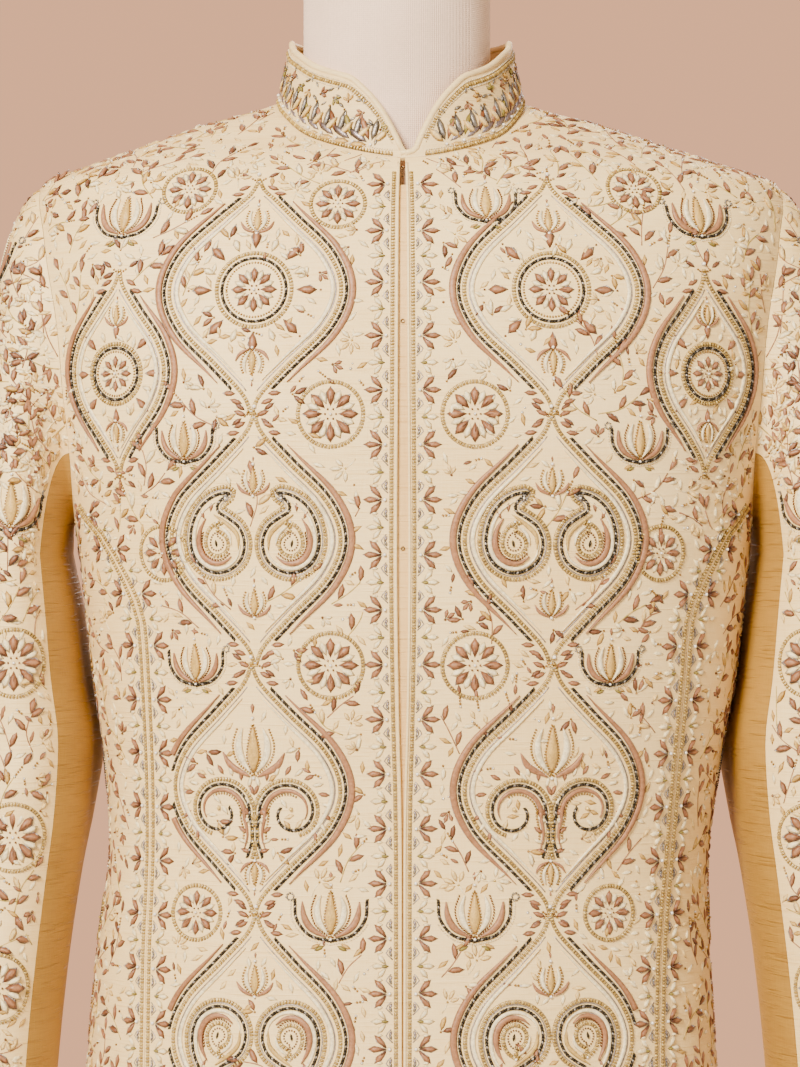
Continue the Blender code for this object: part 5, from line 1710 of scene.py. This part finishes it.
def panel_motifs(panel, side, back):
    """Ogees down the middle of a front or back, flowers in the half-drops, and a second column."""
    column_x = side * BACK_COLUMN_ACROSS if back else side * COLUMN_ACROSS + OPENING_ACROSS
    scale, frame_size, inner = (0.76, BACK_OGEE, 0.0340) if back else (0.90, OGEE, 0.0455)
    inner_scale = inner * 18.9
    motifs = []
    for i, kind in enumerate(BACK_KINDS if back else FRONT_KINDS):
        for height, drop in ((OGEE_TOP - i * OGEE_PITCH, False), (OGEE_TOP - (i + 0.5) * OGEE_PITCH, True)):
            middle = column_x + side * FLARE * max(0.0, FLARE_FROM - height)
            if not drop:
                motifs.append((panel.spot_at(middle, height), kind, scale, frame_size))
                continue
            motifs.append((panel.spot_at(middle - side * inner, height), "half_lotus", inner_scale, None))
            if i:
                motifs.append((panel.spot_at(middle + side * 0.0350, height),
                               "half_lotus" if i % 2 else "rosette", 0.72, None))
    outer = side * OUTER_COLUMN
    motifs.append((panel.spot_at(outer, OUTER_HEIGHT), "wreath", 0.72, OUTER_OGEE))
    motifs.append((panel.spot_at(side * 0.1350, 1.262), "half_lotus", 0.72, None))
    motifs.append((panel.spot_at(side * 0.1480, 1.196), "rosette", 0.72, None))
    motifs.append((panel.spot_at(side * 0.1720, OGEE_TOP + 0.046), "half_lotus", 0.80, None))
    motifs.append((panel.spot_at(side * 0.1330, OGEE_TOP + 0.062), "rosette", 0.72, None))
    motifs.append((panel.spot_at(side * 0.0440, OGEE_TOP + 0.052), "half_lotus", 0.72, None))
    return motifs


def build():
    set_camera()
    set_studio()
    ground = raw_silk("coat_silk", dye(253, 225, 163), dye(239, 202, 128), 0.44, 0.45, 0.4, 0.05)
    collar_silk = raw_silk("collar_silk", dye(244, 218, 160), dye(226, 192, 128), 0.44, 0.45, 0.4, 0.05)
    # Gold silk for the under sleeves: a real gold, made darker to hold the shade they sit in, so partly
    # painted shade
    gold_silk_with_painted_shade = raw_silk("gold_silk_with_painted_shade", dye(176, 135, 58), dye(146, 104, 38), 0.42, 0.45, 0.9, 0.10)
    piping_silk = raw_silk("piping_silk", dye(246, 222, 166), dye(222, 190, 130), 0.42, 0.4, 0.3, 0.04)
    # The underlap's silk: the coat's own silk, made darker and more golden to hold the shade of the front
    # opening, so partly painted shade
    placket_silk_with_painted_shade = raw_silk("placket_silk_with_painted_shade", dye(228, 192, 128), dye(204, 164, 100), 0.42, 0.4, 0.6, 0.06)
    materials = {"silk": silk_thread(), "metal": metal_thread(), "beads": cut_bead(),
                 "pearls": pearl_bead()}
    for name, finish in (("form_neck_cap", varnished_wood()), ("form_pole", painted_metal()),
                         ("form_base", painted_metal()), ("neck_hook", bronze_wire()),
                         ("neck_eye", bronze_wire()), ("placket_eye_upper", bronze_wire()),
                         ("placket_eye_lower", bronze_wire())):
        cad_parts[name].data.materials.clear()
        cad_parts[name].data.materials.append(finish)
    form = add_form(canvas())
    underlap = add_underlap(placket_silk_with_painted_shade)
    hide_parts("placket_underlap")

    shells = {}
    for side, word in ((1, "left"), (-1, "right")):
        for back in (False, True):
            sew_main_panel(side, word, back, shells, ground, piping_silk, materials)
        sew_side_panel(side, word, ground, materials)
        sew_sleeve(side, word, ground, gold_silk_with_painted_shade, materials)
    points, normals = collar_band(12)
    shell = add_shell("collar_cloth", points, normals, COLLAR_CLOTH, collar_silk)
    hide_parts("collar")
    dress_collar(points, normals, materials, piping_silk)


# How far apart the small things stand, against the front
BACK_SPACING = 1.85
SIDE_SPACING = 1.35
FRONT_SEED, BACK_SEED, SIDE_SEED, SLEEVE_SEED = 11, 14, 31, 47
# Ground kept clear beside each edge: for the two worked borders, a plain edge and the neckline
SEAM_BORDER = 0.0185
FRONT_BORDER = 0.0200
PLAIN_EDGE = 0.004
NECK_EDGE = 0.0025


def sew_main_panel(side, word, back, shells, ground, piping_silk, materials):
    points, normals = main_panel(side, back)
    name = f"{'back' if back else 'front'}_{word}"
    shells[name] = shell = add_shell(f"{name}_cloth", points, normals, CLOTH, ground)
    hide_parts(name)
    seam_row = int(sum(LOW_COUNTS)) + SEAM_COUNT
    pit_row = seam_row + TOP_COUNT * len(FRONT_HEIGHTS)
    rows = np.arange(len(points))
    first_margin = PLAIN_EDGE if back else np.where(rows <= pit_row, FRONT_BORDER, NECK_EDGE)
    panel = Panel(name, points, normals, -side if back else side, first_margin,
                  np.where(rows <= seam_row, SEAM_BORDER, PLAIN_EDGE))
    edge_border(panel, True, 1.0, seam_row - 1, 0.0024, 1)
    trimmings = []
    if not back:
        edge_border(panel, False, 2.0, pit_row - 1.5, 0.0036)
        rows, columns = panel.run_beside(0.0009, False, 0.0, pit_row - 0.5)
        spots, lift = panel.lift(rows, columns)
        trimmings.append(add_roll(f"front_{word}_piping", spots + lift * 0.0001, 0.0009, piping_silk))
    motifs = panel_motifs(panel, side, back)
    trimmings += dress_panel(panel, motifs, BACK_SEED if back else FRONT_SEED, materials,
                             BACK_SPACING if back else 1.0)


SIDE_MOTIFS = (("rosette", 1.12), ("lotus", 1.06), ("spray", 0.98), ("rosette", 0.91), ("lotus", 0.85),
               ("wreath", 0.76), ("spray", 0.66), ("lotus", 0.57), ("wreath", 0.48))


def sew_side_panel(side, word, ground, materials):
    points, normals = side_panel(side)
    shell = add_shell(f"side_{word}_cloth", points, normals, CLOTH, ground)
    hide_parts(f"side_{word}")
    panel = Panel(f"side_{word}", points, normals, side, SEAM_BORDER, SEAM_BORDER)
    edge_border(panel, False, 1.0, len(points) - 2, 0.0024, 1)
    edge_border(panel, True, 1.0, len(points) - 2, 0.0024, 1)
    motifs = [(panel.spot(0.5, height), kind, 0.76, None) for kind, height in SIDE_MOTIFS]
    trimmings = dress_panel(panel, motifs, SIDE_SEED, materials, SIDE_SPACING)


SLEEVE_MOTIFS = (
    ("lotus", 0.50, 1.375), ("spray", 0.50, 1.285), ("paisleys", 0.50, 1.175), ("wreath", 0.50, 1.075),
    ("lotus", 0.50, 0.995), ("spray", 0.50, 0.915), ("rosette", 0.50, 0.840), ("rosette", 0.14, 1.160),
    ("half_lotus", 0.86, 1.300), ("lotus", 0.84, 1.225), ("paisleys", 0.86, 1.130), ("lotus", 0.86, 1.025),
    ("wreath", 0.86, 0.935), ("half_lotus", 0.86, 0.850), ("lotus", 0.14, 1.060), ("rosette", 0.14, 0.960),
    ("half_lotus", 0.14, 0.870), ("half_lotus", 0.14, 1.250),
)


def sew_sleeve(side, word, ground, gold_silk_with_painted_shade, materials):
    points, normals = sleeve_piece(side, SLEEVE_BACK_TURN, 360 + SLEEVE_FRONT_TURN)
    top = add_shell(f"sleeve_{word}_top_cloth", points, normals, CLOTH, ground)
    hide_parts(f"sleeve_{word}_top")
    panel = Panel(f"sleeve_{word}_top", points, normals, -side, PLAIN_EDGE, PLAIN_EDGE)
    motifs = [(panel.spot(share, height), kind, 0.90, None) for kind, share, height in SLEEVE_MOTIFS]
    dress_panel(panel, motifs, SLEEVE_SEED, materials)
    points, normals = sleeve_piece(side, SLEEVE_FRONT_TURN, SLEEVE_BACK_TURN)
    # The under sleeve's gold silk carries painted shade in its darkened colour
    under = add_shell(f"sleeve_{word}_under_cloth", points, normals, CLOTH, gold_silk_with_painted_shade)
    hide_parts(f"sleeve_{word}_under")


build()
